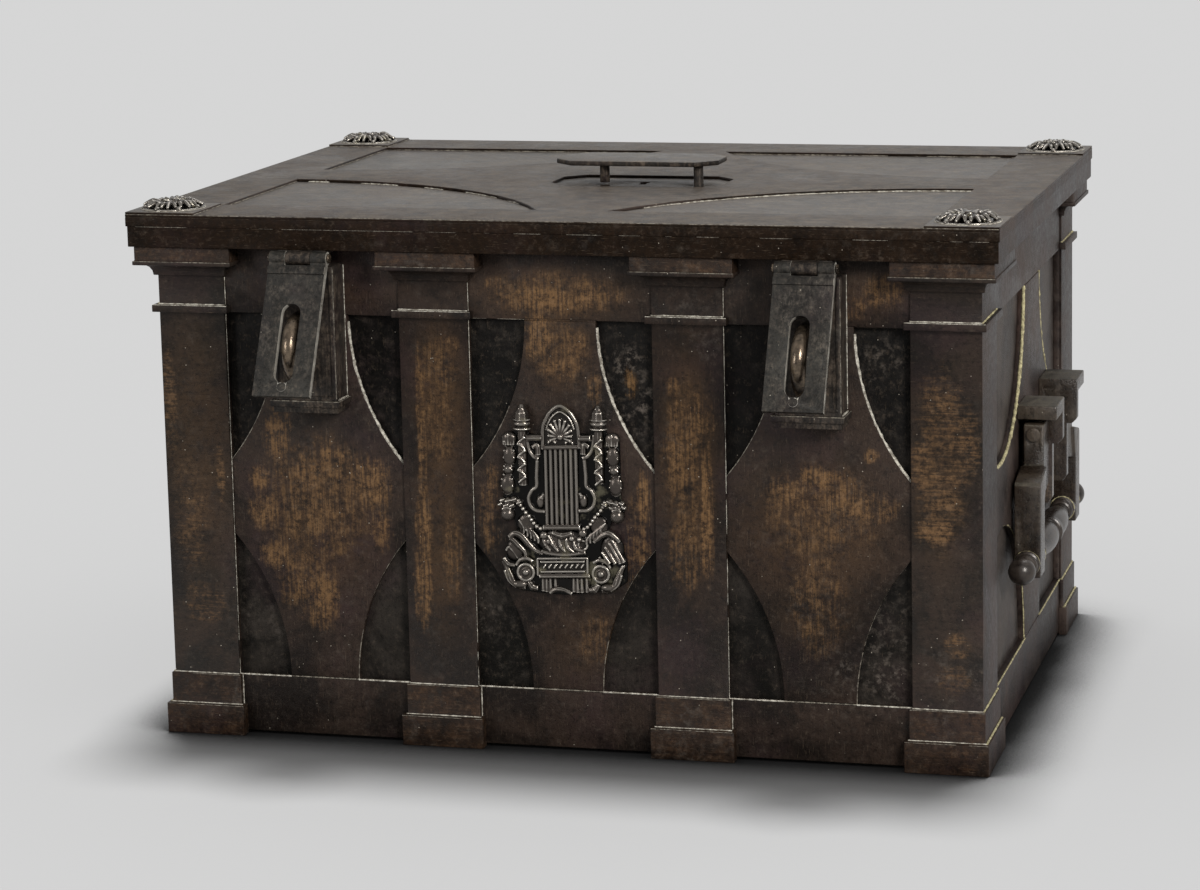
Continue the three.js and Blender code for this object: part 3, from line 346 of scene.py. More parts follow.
for part, outer in (("front_wall", recess_iron), ("back_wall", recess_iron), ("left_wall", side_recess_iron),
                    ("right_wall", side_recess_iron)):
    dressed(part, "chest", 0.6, outer, inner_iron, choose=inward)
dressed("floor_plate", "chest", 0.8, inner_iron)
dressed("mouth_rim", "chest", 0.8, inner_iron)

# Strap panels: one sheet of iron on the front and one on each side, cut to curved fields and riveted
# over the walls. Their brown patina is rubbed to ochre in patches, and wax has dried along the cut edges.
panel_glaze = [(-248, 220, 62, 70, 0.9), (-235, 440, 60, 16, 0.5), (0, 395, 34, 44, 1.0),
               (-5, 446, 78, 30, 1.0), (20, 110, 40, 40, 0.5), (243, 225, 78, 70, 0.9),
               (243, 150, 50, 40, 0.4), (300, 455, 40, 24, 0.6)]
panel_wear = [
    (-250, 240, 58, 64, 0.62), (-262, 160, 34, 44, 0.5), (-5, 446, 72, 22, 0.55), (0, 392, 30, 36, 0.5),
    (252, 244, 56, 46, 0.52), (246, 160, 30, 60, 0.4), (72, 200, 14, 60, 0.5), (-74, 230, 12, 50, 0.4),
    (-288, 302, 16, 30, 0.62), (-308, 257, 12, 13, 0.9), (-236, 284, 24, 8, 0.75), (-193, 256, 22, 28, 1.0),
    (-222, 268, 34, 16, 0.72), (-302, 227, 20, 24, 0.75), (-185, 212, 12, 22, 1.0), (-294, 183, 18, 15, 1.05),
    (-279, 172, 9, 8, 0.8), (-248, 140, 18, 32, 1.0), (-238, 194, 26, 14, 0.5), (-270, 146, 12, 14, 0.6),
    (-21, 406, 16, 26, 1.0), (8, 400, 20, 16, 0.62), (33, 358, 8, 22, 0.62), (-16, 442, 40, 15, 1.05),
    (28, 446, 26, 18, 0.8), (-62, 452, 14, 12, 0.5), (79, 250, 7, 36, 1.1), (34, 110, 26, 26, 0.42),
    (-70, 262, 9, 20, 0.5), (250, 278, 22, 11, 1.1), (217, 263, 24, 17, 0.72), (288, 252, 36, 18, 0.85),
    (268, 264, 18, 12, 0.6), (299, 301, 8, 8, 0.7), (243, 147, 14, 30, 0.5), (235, 222, 30, 26, 0.4),
    (312, 456, 20, 16, 0.7), (285, 440, 14, 12, 0.5)]
panel_dust = [(0, 250, 1000, 600, 0.22), (300, 95, 90, 50, 1.0), (240, 80, 60, 32, 0.6),
              (-200, 80, 60, 30, 0.35), (180, 330, 40, 60, 0.5), (250, 120, 70, 60, 0.45)]
front_iron = iron("front_iron", (25, 20, 17), (47, 37, 31), (60, 45, 32), (118, 89, 58), glaze=panel_glaze,
                  wear=panel_wear, dust=panel_dust)
# The sides' iron is lighter and greyer than the front's: partly dust, partly painted light, as the right side
# faces the lamps.
side_iron = iron("side_iron", (33, 26, 24), (63, 52, 47), (66, 50, 40), (106, 90, 76), face="side",
                 glaze=[(20, 400, 160, 60, 0.5)], wear=[(27, 210, 90, 80, 0.5)], dust=0.35, gloss=0.42,
                 specular=0.22)
dressed("front_panel", "chest", 0.9, front_iron)
dressed("left_panel", "chest", 0.9, side_iron)
dressed("right_panel", "chest", 0.9, side_iron)

# Dried wax and polish: a chalky crust, pale where it is thick and dull where dust has worked into it
residue, given, gives = start_group("dried_residue", [
    ("Place", "Vector", None), ("Bright", "Color", None), ("Dull", "Color", None)])
thick = between(residue, clouds(residue, given["Place"], 260.0, 6.0, 0.75), 0.40, 0.62)
residue.links.new(blend(residue, thick, given["Dull"], given["Bright"]), gives["Color"])
grain = clouds(residue, given["Place"], 800.0, 2.0, 0.5)
residue.links.new(weighed(residue, 0.65, (grain, 0.2)), gives["Roughness"])
residue.links.new(bumped(residue, grain, 0.4, 0.5), gives["Normal"])
wax, yellow_wax, old_wax = (
    surfaced(name, residue, 0.0, 0.3, Bright=linear(*bright), Dull=linear(*dull))[0]
    for name, bright, dull in (("wax_residue", (196, 192, 180), (116, 110, 100)),
                               ("yellow_wax_residue", (190, 182, 142), (122, 114, 88)),
                               ("old_wax_residue", (132, 126, 114), (62, 56, 50))))


def strands(name, runs, sides, *materials):
    """Round strands along runs of (point, radius) in millimetres: bevelled curves, kept as one mesh."""
    curve = bpy.data.curves.new(name, "CURVE")
    curve.dimensions = "3D"
    curve.bevel_depth = MM
    curve.bevel_resolution = sides
    curve.use_fill_caps = True
    for run in runs:
        spline = curve.splines.new("POLY")
        spline.points.add(len(run) - 1)
        for knot, (point, radius) in zip(spline.points, run):
            knot.co = (*(Vector(point) * MM), 1.0)
            knot.radius = radius
    rough = bpy.data.objects.new(name, curve)
    scene.collection.objects.link(rough)
    mesh = bpy.data.meshes.new_from_object(rough.evaluated_get(bpy.context.evaluated_depsgraph_get()))
    bpy.data.objects.remove(rough)
    bpy.data.curves.remove(curve)
    work = bmesh.new()
    work.from_mesh(mesh)
    bpy.data.meshes.remove(mesh)
    bmesh.ops.remove_doubles(work, verts=work.verts, dist=1e-6)
    bmesh.ops.recalc_face_normals(work, faces=work.faces)
    piece = piece_of(name, work, *materials)
    smooth(piece.data, 60.0)
    return piece


knot_gap, patchy, lumpy = 3.0, 0.03, 0.4


def deposit(name, body, material, lines, seed):
    """Residue in corners: each line is (points, radius, share that is left), thinned and broken by noise
    that seed shifts."""
    runs = []
    for number, (points, radius, left) in enumerate(lines):
        points = [Vector(point) for point in points]
        fine = []
        for start, end in zip(points, points[1:]):
            count = max(1, round((end - start).length / knot_gap))
            fine += [start.lerp(end, step / count) for step in range(count)]
        fine.append(points[-1])
        shift = Vector((seed * 7.3, number * 3.1, 0.0))
        run = []
        for point in fine:
            here = noise.fractal(point * patchy + shift, 1.0, 2.0, 3) * 0.5 + 0.5
            strong = min(1.0, max(0.0, (left - here) * 6.0))
            if strong > 0.0:
                swell = 0.8 + 0.5 * noise.noise(point * lumpy + shift)
                run.append((point, radius * strong ** 0.5 * swell))
            elif run:
                runs.append(run)
                run = []
        runs.append(run)
    piece = strands(name, [run for run in runs if len(run) > 1], 1, material)
    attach(piece, body)
    return piece


def tangent_arc(start, heading, end, steps):
    """Points of the arc that leaves start along a heading and comes to end."""
    start, heading, end = Vector(start), Vector(heading), Vector(end)
    along = (end - start).dot(heading)
    across = end - start - along * heading
    radius = (along ** 2 + across.length_squared) / (2.0 * across.length)
    sweep = math.atan2(along, radius - across.length)
    return [start + radius * (math.sin(turn) * heading + (1.0 - math.cos(turn)) * across.normalized())
            for turn in (sweep * step / steps for step in range(steps + 1))]


# The fields' heights, the panels' faces, the half widths of the straps between the arcs, the sides of the
# pilasters across the front, and the steps of an arc, with the steps at which its old wax changes
plinth, frieze, upper_corner, lower_corner = 60.0, 421.7, 275.7, 203.0
panel_front, panel_side, side_middle = -291.0, 402.5, 27.0
front_neck, side_neck = 35.0, 50.0
pilaster_sides = (-404.5, -337.0, -159.5, -90.5, 90.5, 159.5, 337.0, 404.5)
arc_steps, upper_change, lower_change = 24, 13, 9
in_wall = Vector((0.5, 2.0, 0.0))
bright, dim = [], []
for low, high in zip(pilaster_sides[1:-1:2], pilaster_sides[2:-1:2]):
    left_neck, right_neck = (low + high) / 2.0 - front_neck, (low + high) / 2.0 + front_neck
    arcs = [tangent_arc((neck, panel_front + 0.6, z), (0, 0, math.copysign(1, meet - z)),
                        (edge, panel_front + 0.6, meet), arc_steps)
            for z, meet in ((frieze, upper_corner), (plinth, lower_corner))
            for neck, edge in ((left_neck, low), (right_neck, high))]
    upper_left, upper_right, _, lower_right = arcs
    bright += [([point + in_wall for point in upper_right[1:]], 2.0, 1.2), (upper_right[2:], 0.4, 0.6)]
    for edge, neck in ((low, left_neck), (high, right_neck)):
        bright.append(([(edge, panel_front, plinth), (neck, panel_front, plinth)], 1.0, 0.9))
    dim += [(upper_left[upper_change:], 0.8, 0.9), (lower_right[:lower_change], 0.7, 0.85),
            (lower_right[lower_change:], 0.45, 0.62),
            ([(left_neck, panel_front + 0.4, plinth), (right_neck, panel_front + 0.4, plinth)], 0.9, 0.95),
            ([(low, panel_front + 0.3, frieze), (left_neck, panel_front + 0.3, frieze)], 0.4, 0.5)]
deposit("front_field_wax", "chest", wax, bright, 3)
deposit("front_field_old_wax", "chest", old_wax, dim, 4)
side_lines = []
side_corners = (-210.0, 228.0)
for sign in (-1, 1):
    skin = sign * panel_side
    for neck, corner in zip((side_middle - side_neck, side_middle + side_neck), side_corners):
        for z, meet, radius, left in ((frieze, upper_corner, 2.2, 1.1), (plinth, lower_corner, 1.0, 0.75)):
            arc = tangent_arc((skin - sign, neck, z), (0, 0, math.copysign(1, meet - z)),
                              (skin - sign, corner, meet), arc_steps)
            side_lines.append((arc, radius, left))
        side_lines.append(([(skin, neck, plinth), (skin, corner, plinth)], 1.2, 1.0))
deposit("side_field_wax", "chest", yellow_wax, side_lines, 7)

# Pilasters: six forged bars with a stepped foot and a capital, fixed over the panels at the corners
# and between the fields. Ochre streaks run up the inner two, and wax lies along every ledge.
pilaster_glaze = [(-372, 290, 36, 130, 0.8), (-120, 343, 26, 80, 1.0), (-124, 220, 24, 110, 0.8),
                  (124, 290, 30, 110, 0.8), (364, 270, 30, 80, 0.6)]
pilaster_wear = [
    (126, 280, 22, 90, 0.45), (366, 300, 28, 90, 0.5),
    (-140, 343, 5, 52, 0.95), (-122, 372, 20, 28, 0.62), (-110, 395, 12, 12, 0.5), (-122, 320, 18, 44, 0.4),
    (-140, 282, 5, 60, 0.95), (-140, 219, 9, 32, 1.1), (-143, 158, 10, 46, 0.9), (-112, 190, 12, 50, 0.4),
    (-348, 264, 5, 36, 0.62), (-398, 330, 8, 60, 0.5), (-369, 132, 24, 24, 0.45), (-380, 220, 22, 60, 0.35),
    (141, 244, 8, 72, 0.95), (118, 289, 20, 42, 0.72), (120, 202, 20, 40, 0.5), (110, 361, 8, 10, 0.62),
    (128, 330, 24, 30, 0.62), (351, 295, 15, 38, 0.85), (360, 232, 20, 15, 1.1), (383, 314, 22, 44, 0.55),
    (362, 262, 16, 26, 0.66), (370, 350, 26, 26, 0.55), (381, 123, 14, 14, 0.55), (376, 90, 18, 16, 0.4)]
pilaster_dust = [(0, 250, 1000, 600, 0.2), (380, 110, 40, 80, 0.9), (125, 400, 40, 60, 0.5)]
shaft_iron = iron("shaft_iron", (25, 20, 17), (44, 34, 28), (62, 46, 31), (118, 89, 58), glaze=pilaster_glaze,
                  wear=pilaster_wear, dust=pilaster_dust)
corner_iron = iron("corner_iron", (26, 23, 20), (48, 39, 33), (60, 46, 33), (116, 88, 60), along="x",
                   glaze=pilaster_glaze, wear=pilaster_wear, dust=pilaster_dust)
capital_iron = iron("capital_iron", (20, 15, 12), (38, 29, 23), (48, 34, 24), (80, 58, 40), along="x",
                    glaze=0.4, wear=0.25, dust=0.45)
shaft_foot, shaft_head, corner_x = 60.5, 473.5, 400.0


def end_iron(face):
    """The darker iron of the feet and capitals, or the shaft's own."""
    return 0 if shaft_foot * MM <= face.center.z <= shaft_head * MM else 1


def corner_face(face):
    """The side's iron on a corner pilaster's outer face, and otherwise as on the inner pilasters."""
    return 2 if abs(face.normal.x) > 0.6 and abs(face.center.x) > corner_x * MM else end_iron(face)


for side in ("left", "right"):
    dressed("pilaster_front_" + side, "chest", 1.0, corner_iron, capital_iron, side_iron, choose=corner_face)
    dressed("pilaster_front_inner_" + side, "chest", 1.0, shaft_iron, capital_iron, choose=end_iron)
    dressed("pilaster_back_" + side, "chest", 1.0, side_iron)
# Each edge of a foot or a band is a height and how far it stands out from the shaft
shaft_front, shaft_side, shaft_back = -294.0, pilaster_sides[-1], 312.0
foot_edges = ((30.2, 3.5), (60.2, 0.2), (428.9, 0.2))
band_z, band_proud, band_wide = 428.7, 6.4, 4.4
above_foot, half_way, under_capital = 61.0, 260.0, 456.0
ledges, dull_ledges = [], []
for low, high in zip(pilaster_sides[::2], pilaster_sides[1::2]):
    for z, proud in foot_edges:
        y = shaft_front - proud
        ledges.append(([(low - proud, y, z), (high + proud, y, z)], 0.9 if z < 100 else 1.1, 0.95))
    y = shaft_front - band_proud
    ledges.append(([(low - band_wide, y, band_z), (high + band_wide, y, band_z)], 0.5, 0.9))
    for z, wide, proud in ((shaft_head, 16.0, 22.9), (29.7, 6.0, 9.0), (59.7, 2.0, 3.5)):
        y = shaft_front - proud
        dull_ledges.append(([(low - wide, y, z), (high + wide, y, z)], 0.5, 0.75))
    if high < shaft_side:
        for x, foot, head, radius, left in ((high, above_foot, half_way, 0.45, 0.72),
                                            (high, half_way, under_capital, 0.55, 0.9),
                                            (high + 2.6, 4.0, plinth, 0.9, 0.75)):
            ledges.append(([(x, panel_front, foot), (x, panel_front, head)], radius, left))
    if low > -shaft_side:
        dull_ledges.append(([(low, panel_front, above_foot), (low, panel_front, under_capital)], 0.4, 0.35))
side_ledges = []
for sign in (-1, 1):
    for low, high in ((shaft_front, side_corners[0]), (side_corners[1], shaft_back)):
        for z, proud in foot_edges:
            x = sign * (shaft_side + proud)
            side_ledges.append(([(x, low - proud, z), (x, high + proud, z)], 1.4, 1.0))
deposit("pilaster_wax", "chest", wax, ledges, 5)
deposit("pilaster_side_wax", "chest", yellow_wax, side_ledges, 10)
deposit("pilaster_old_wax", "chest", old_wax, dull_ledges, 6)

# Lock boxes: a closed iron box behind each hasp, with a shallow sunk face and a stepped ledge under it.
# The staple is a thick ring forged to a crescent, driven through the box and rubbed bright by the hasp.
box_iron = iron("box_iron", (24, 22, 21), (42, 39, 36), (56, 46, 38), (104, 92, 80), wear=0.35, dust=0.5,
                gloss=0.4, metal=0.2)
rubbed, given, gives = start_group("rubbed_surface", [
    ("Place", "Vector", None), ("Dark", "Color", None), ("Bright", "Color", None), ("Gloss", "Float", 0.25)])
cloud = clouds(rubbed, given["Place"], 70.0, 6.0, 0.65)
pits = clouds(rubbed, given["Place"], 430.0, 5.0, 0.7)
tone = blend(rubbed, between(rubbed, cloud, 0.35, 0.66), given["Dark"], given["Bright"])
rubbed.links.new(blend(rubbed, between(rubbed, pits, 0.58, 0.68), tone, linear(26, 20, 16)), gives["Color"])
rubbed.links.new(sums(rubbed, "ADD", given["Gloss"], weighed(rubbed, -0.2, (cloud, 0.4)), True),
                 gives["Roughness"])
rubbed.links.new(bumped(rubbed, sums(rubbed, "SUBTRACT", 1.0, pits), 0.3, 0.5), gives["Normal"])
worn_iron = surfaced("worn_iron", rubbed, 0.75, 0.5, Dark=linear(44, 38, 32), Bright=linear(116, 102, 86),
                     Gloss=0.2)[0]
box_middle, box_half, box_foot, box_head, box_front = 246.0, 31.0, 345.0, 471.0, -321.6
ledge_half, ledge_z, ledge_front, ledge_back = 34.6, 342.9, -325.9, -292.0
staple_bend, staple_radius, staple_root, staple_y, staple_z = 28.0, 7.4, -301.0, -333.0, 396.0
for side, middle in (("left", -box_middle), ("right", box_middle)):
    dressed("lock_box_" + side, "chest", 0.8, box_iron)
    bow = [(middle, staple_y + staple_bend * math.cos(turn), staple_z + staple_bend * math.sin(turn))
           for turn in (math.pi / 2 + math.pi * step / 40 for step in range(41))]
    route = [(middle, staple_root, staple_z + staple_bend), *bow,
             (middle, staple_root, staple_z - staple_bend)]
    ring = strands("staple_%s_ring" % side, [[(point, staple_radius) for point in route]], 10, worn_iron)
    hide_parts("staple_" + side)
    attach(ring, "chest")
    edge, ledge_end = middle + box_half, middle + ledge_half
    deposit("lock_box_%s_old_wax" % side, "chest", old_wax, [
        ([(middle - 34.5, ledge_front, ledge_z), (ledge_end, ledge_front, ledge_z),
          (ledge_end, ledge_back, ledge_z)], 0.6, 1.0),
        ([(middle - 32.0, -323.4, 337.0), (middle + 32.0, -323.4, 337.0)], 0.5, 0.8),
        ([(edge + 0.2, box_front, box_foot), (edge + 0.2, box_front, box_head)], 0.5, 0.9)], 11)
    deposit("lock_box_%s_wax" % side, "chest", wax, [
        ([(edge + 0.1, panel_front - 0.2, box_foot), (edge + 0.1, panel_front - 0.2, box_head)], 0.6, 0.95),
        ([(edge + 1.2, -318.0, 343.4), (edge + 1.2, shaft_front, 343.4)], 1.3, 1.1)], 12)

# Lyre mount: one thin iron casting pinned to the middle field. It is built up from a thin base plate
# with strings, columns, leaves and garlands in relief, then melted together and softened like a cast.
casting, given, gives = start_group("cast_surface", [("Place", "Vector", None), ("Height", "Float", 1.0)])
place = given["Place"]
ridge = casting.nodes.new("ShaderNodeNewGeometry").outputs["Pointiness"]
mottle = clouds(casting, place, 70.0, 5.0, 0.6)
tone = blend(casting, mottle, linear(40, 36, 33), linear(92, 85, 79))
# Painted highlight on the ridges, which also stands for polish wear there, and painted shade in the creases,
# both from the mesh's curvature. A low Height takes the colour to near-black: painted shade on the lyre
# mount's low ground. The flowers take one fixed Height, which darkens them evenly.
tone = blend(casting, between(casting, ridge, 0.505, 0.55), tone, linear(196, 190, 180))
tone = blend(casting, between(casting, given["Height"], 0.9, 0.1), tone, linear(16, 15, 14))
tone = blend(casting, product(casting, between(casting, ridge, 0.495, 0.43), 0.9), tone, linear(16, 14, 13))
bloom = product(casting, between(casting, clouds(casting, place, 46.0, 4.0, 0.6), 0.56, 0.68), 0.38)
casting.links.new(blend(casting, bloom, tone, linear(136, 130, 108)), gives["Color"])
casting.links.new(weighed(casting, 0.12, (mottle, 0.2)), gives["Roughness"])
casting.links.new(bumped(casting, clouds(casting, place, 800.0, 3.0, 0.6), 0.25, 0.5), gives["Normal"])
cast_iron = surfaced("cast_iron", casting, 0.8, 0.4, Height=0.6)[0]
mount_iron, tree, place, surface = surfaced("mount_iron", casting, 0.8, 0.4)
# Painted shade darkens the mount up to the height of its ground, and the relief over it is left unshaded
ground_height, unshaded_height = 2.4, 7.4
depth = node(tree, "ShaderNodeSeparateXYZ", {}, Vector=place).outputs["Y"]
tree.links.new(between(tree, depth, (panel_front - ground_height) * MM, (panel_front - unshaded_height) * MM),
               surface.inputs["Height"])


def ball(work, centre, radii):
    """A rounded boss from an icosphere stretched to three radii, in millimetres."""
    placed = Matrix.Translation(Vector(centre) * MM) @ Matrix.Diagonal((*radii, 1.0))
    bmesh.ops.create_icosphere(work, subdivisions=3, radius=MM, matrix=placed)


def plate(work, outline, rise):
    """A flat plate: its outline in millimetres, pulled up along rise."""
    face = work.faces.new([work.verts.new(Vector(point) * MM) for point in outline])
    pulled = bmesh.ops.extrude_face_region(work, geom=[face])["geom"]
    bmesh.ops.translate(work, verts=[v for v in pulled if isinstance(v, bmesh.types.BMVert)],
                        vec=Vector(rise) * MM)


def smooth_run(points, radii, steps=6):
    """A smooth line through a few knots, as (point, radius); radii is one value or several along the line."""
    points = [Vector(point) for point in points]
    radii = radii if isinstance(radii, tuple) else (radii, radii)
    last = (len(points) - 1) * steps
    run = []
    for number in range(last + 1):
        i = min(number // steps, len(points) - 2)
        t = (number - i * steps) / steps
        p0, p1, p2, p3 = points[max(i - 1, 0)], points[i], points[i + 1], points[min(i + 2, len(points) - 1)]
        at = 0.5 * (2 * p1 + (p2 - p0) * t + (2 * p0 - 5 * p1 + 4 * p2 - p3) * t * t
                    + (3 * p1 - p0 - 3 * p2 + p3) * t ** 3)
        where = number / last * (len(radii) - 1)
        k = min(int(where), len(radii) - 2)
        run.append((at, radii[k] + (radii[k + 1] - radii[k]) * (where - k)))
    return run


def cast_piece(name, work, runs, voxel, material):
    """Melts plates, bosses and strands into one casting."""
    drawn = strands(name + "_relief", runs, 2)
    work.from_mesh(drawn.data)
    bpy.data.meshes.remove(drawn.data)
    bmesh.ops.recalc_face_normals(work, faces=work.faces)
    piece = piece_of(name, work, material)
    melt = piece.modifiers.new("melt", "REMESH")
    melt.mode = "VOXEL"
    melt.voxel_size = voxel * MM
    soften = piece.modifiers.new("soften", "SMOOTH")
    soften.factor = 0.4
    soften.iterations = 1
    finish_mesh(piece)
    piece.data.polygons.foreach_set("use_smooth", [True] * len(piece.data.polygons))
    if not piece.data.materials:
        piece.data.materials.append(material)
    return piece


work = bmesh.new()
runs = []
fullness, breadth = 1.25, 1.08


def relief(points, radii, depth, steps=6):
    """A raised line through (x, z) points, a depth in front of the panel."""
    full = tuple(fullness * radius for radius in radii) if isinstance(radii, tuple) else fullness * radii
    runs.append(smooth_run([(x, panel_front - depth, z) for x, z in points], full, steps))


def boss(x, z, depth, across, deep, high):
    """A raised round form, a depth in front of the panel."""
    ball(work, (x, panel_front - depth, z), (breadth * across, fullness * deep, breadth * high))


def mount_plate(outline, back, thickness):
    """A plate of the mount, with its back a little off the panel."""
    plate(work, [(x, panel_front - back, z) for x, z in outline], (0, -thickness, 0))


mount_plate([
    (-44.9, 314.6), (-32.8, 316.3), (-32.8, 312.3), (-19.4, 310.4), (-17.4, 323.6), (-10.1, 334.5),
    (-1.0, 340.5), (7.4, 336.1), (14.0, 327.9), (18.1, 313.7), (28.1, 312.9), (28.8, 318.5), (43.5, 318.6),
    (44.9, 313.8), (57.0, 309.3), (57.6, 249.0), (61.9, 245.5), (58.9, 231.1), (47.5, 228.7), (44.9, 220.7),
    (55.6, 212.1), (62.3, 188.9), (61.9, 170.5), (50.2, 162.0), (28.8, 158.9), (2.0, 155.2), (-19.4, 156.0),
    (-39.5, 157.5), (-54.6, 161.3), (-60.6, 173.1), (-60.3, 188.8), (-55.6, 197.0), (-51.9, 214.2),
    (-46.6, 217.1), (-48.9, 227.5), (-61.0, 231.7), (-61.3, 243.7), (-58.9, 253.1), (-58.9, 268.9),
    (-56.3, 295.2), (-56.9, 308.3), (-50.2, 313.3)], 0.02, 2.6)
mount_plate([(-18.1, 298), (16.1, 299.8), (16.1, 222.5), (-18.1, 220.6)], 0.5, 3.6)
# Sound board with seven strings, under a shell in an arch
for i in range(7):
    relief([(-15.7 + 5.0 * i, 223.0), (-15.7 + 5.0 * i, 299.0)], 1.45, 5.0)
relief([(-19.5, 221.4), (17.5, 223.0)], 2.3, 5.2)
relief([(-19.0, 299.3), (17.4, 301.0)], 1.8, 5.0)
arch = [(-18.1, 298.0), (-17.8, 317.1), (-15.4, 325.1), (-10.1, 333.9), (-1.2, 340.0), (7.4, 336.1),
        (13.4, 328.6), (17.0, 318.9), (18.1, 299.9)]
mount_plate(arch, 1.0, 3.4)
relief(arch, 1.5, 5.4)
relief([(x * 0.8 - 0.2, 312.0 + (z - 312.0) * 0.8) for x, z in arch[1:-1]], 0.8, 5.1)
for i in range(11):
    turn = math.radians(-24 + 22.8 * i)
    reach = 10.5 + 3.5 * math.sin(math.radians(16.4 * i + 8))
    relief([(-0.7 + 3.2 * math.cos(turn), 310.5 + 3.2 * math.sin(turn)),
            (-0.7 + reach * math.cos(turn), 311.5 + reach * 1.15 * math.sin(turn))], (0.6, 1.4), 5.2, 3)
boss(-0.7, 310.0, 4.8, 3.0, 2.4, 3.0)
for x in (-9.0, 8.0):
    relief([(x - 4, 304.0), (x, 306.5), (x + 4, 304.0)], 1.0, 5.0)
for start, end in (((-34.0, 308.1), (-19.0, 308.9)), ((18.0, 309.3), (29.5, 309.8))):
    relief([start, end], 2.7, 4.6)
# Two columns twined with leaves, with collars and flames
for x, foot, rise in ((-38.6, 262.0, 0.0), (37.2, 266.0, 1.8)):
    relief([(x, foot), (x, 316.0 + rise)], 3.7, 3.8)
    boss(x, 317.2 + rise, 4.4, 8.3, 5.6, 1.9)
    boss(x, 322.4 + rise, 4.6, 7.8, 5.6, 3.6)
    boss(x, 326.0 + rise, 4.4, 8.2, 5.4, 1.7)
    relief([(x, 325.5 + rise), (x, 333.0 + rise), (x, 340.6 + rise * 0.4)], (6.0, 5.0, 1.2), 4.6)
    for i in range(4):
        z = 327.5 + rise + 3.2 * i
        relief([(x - 5.2 + 1.1 * i, z), (x, z - 1.2), (x + 5.2 - 1.1 * i, z)], 0.7, 9.0 - 0.5 * i, 4)
    for i in range(7):
        lean = -1 if i % 2 else 1
        z = 268.0 + 6.4 * i
        relief([(x - 3.6 * lean, z - 3.0), (x + 0.5, z + 0.5), (x + 3.8 * lean, z + 3.4)], (0.8, 1.5), 8.0, 4)
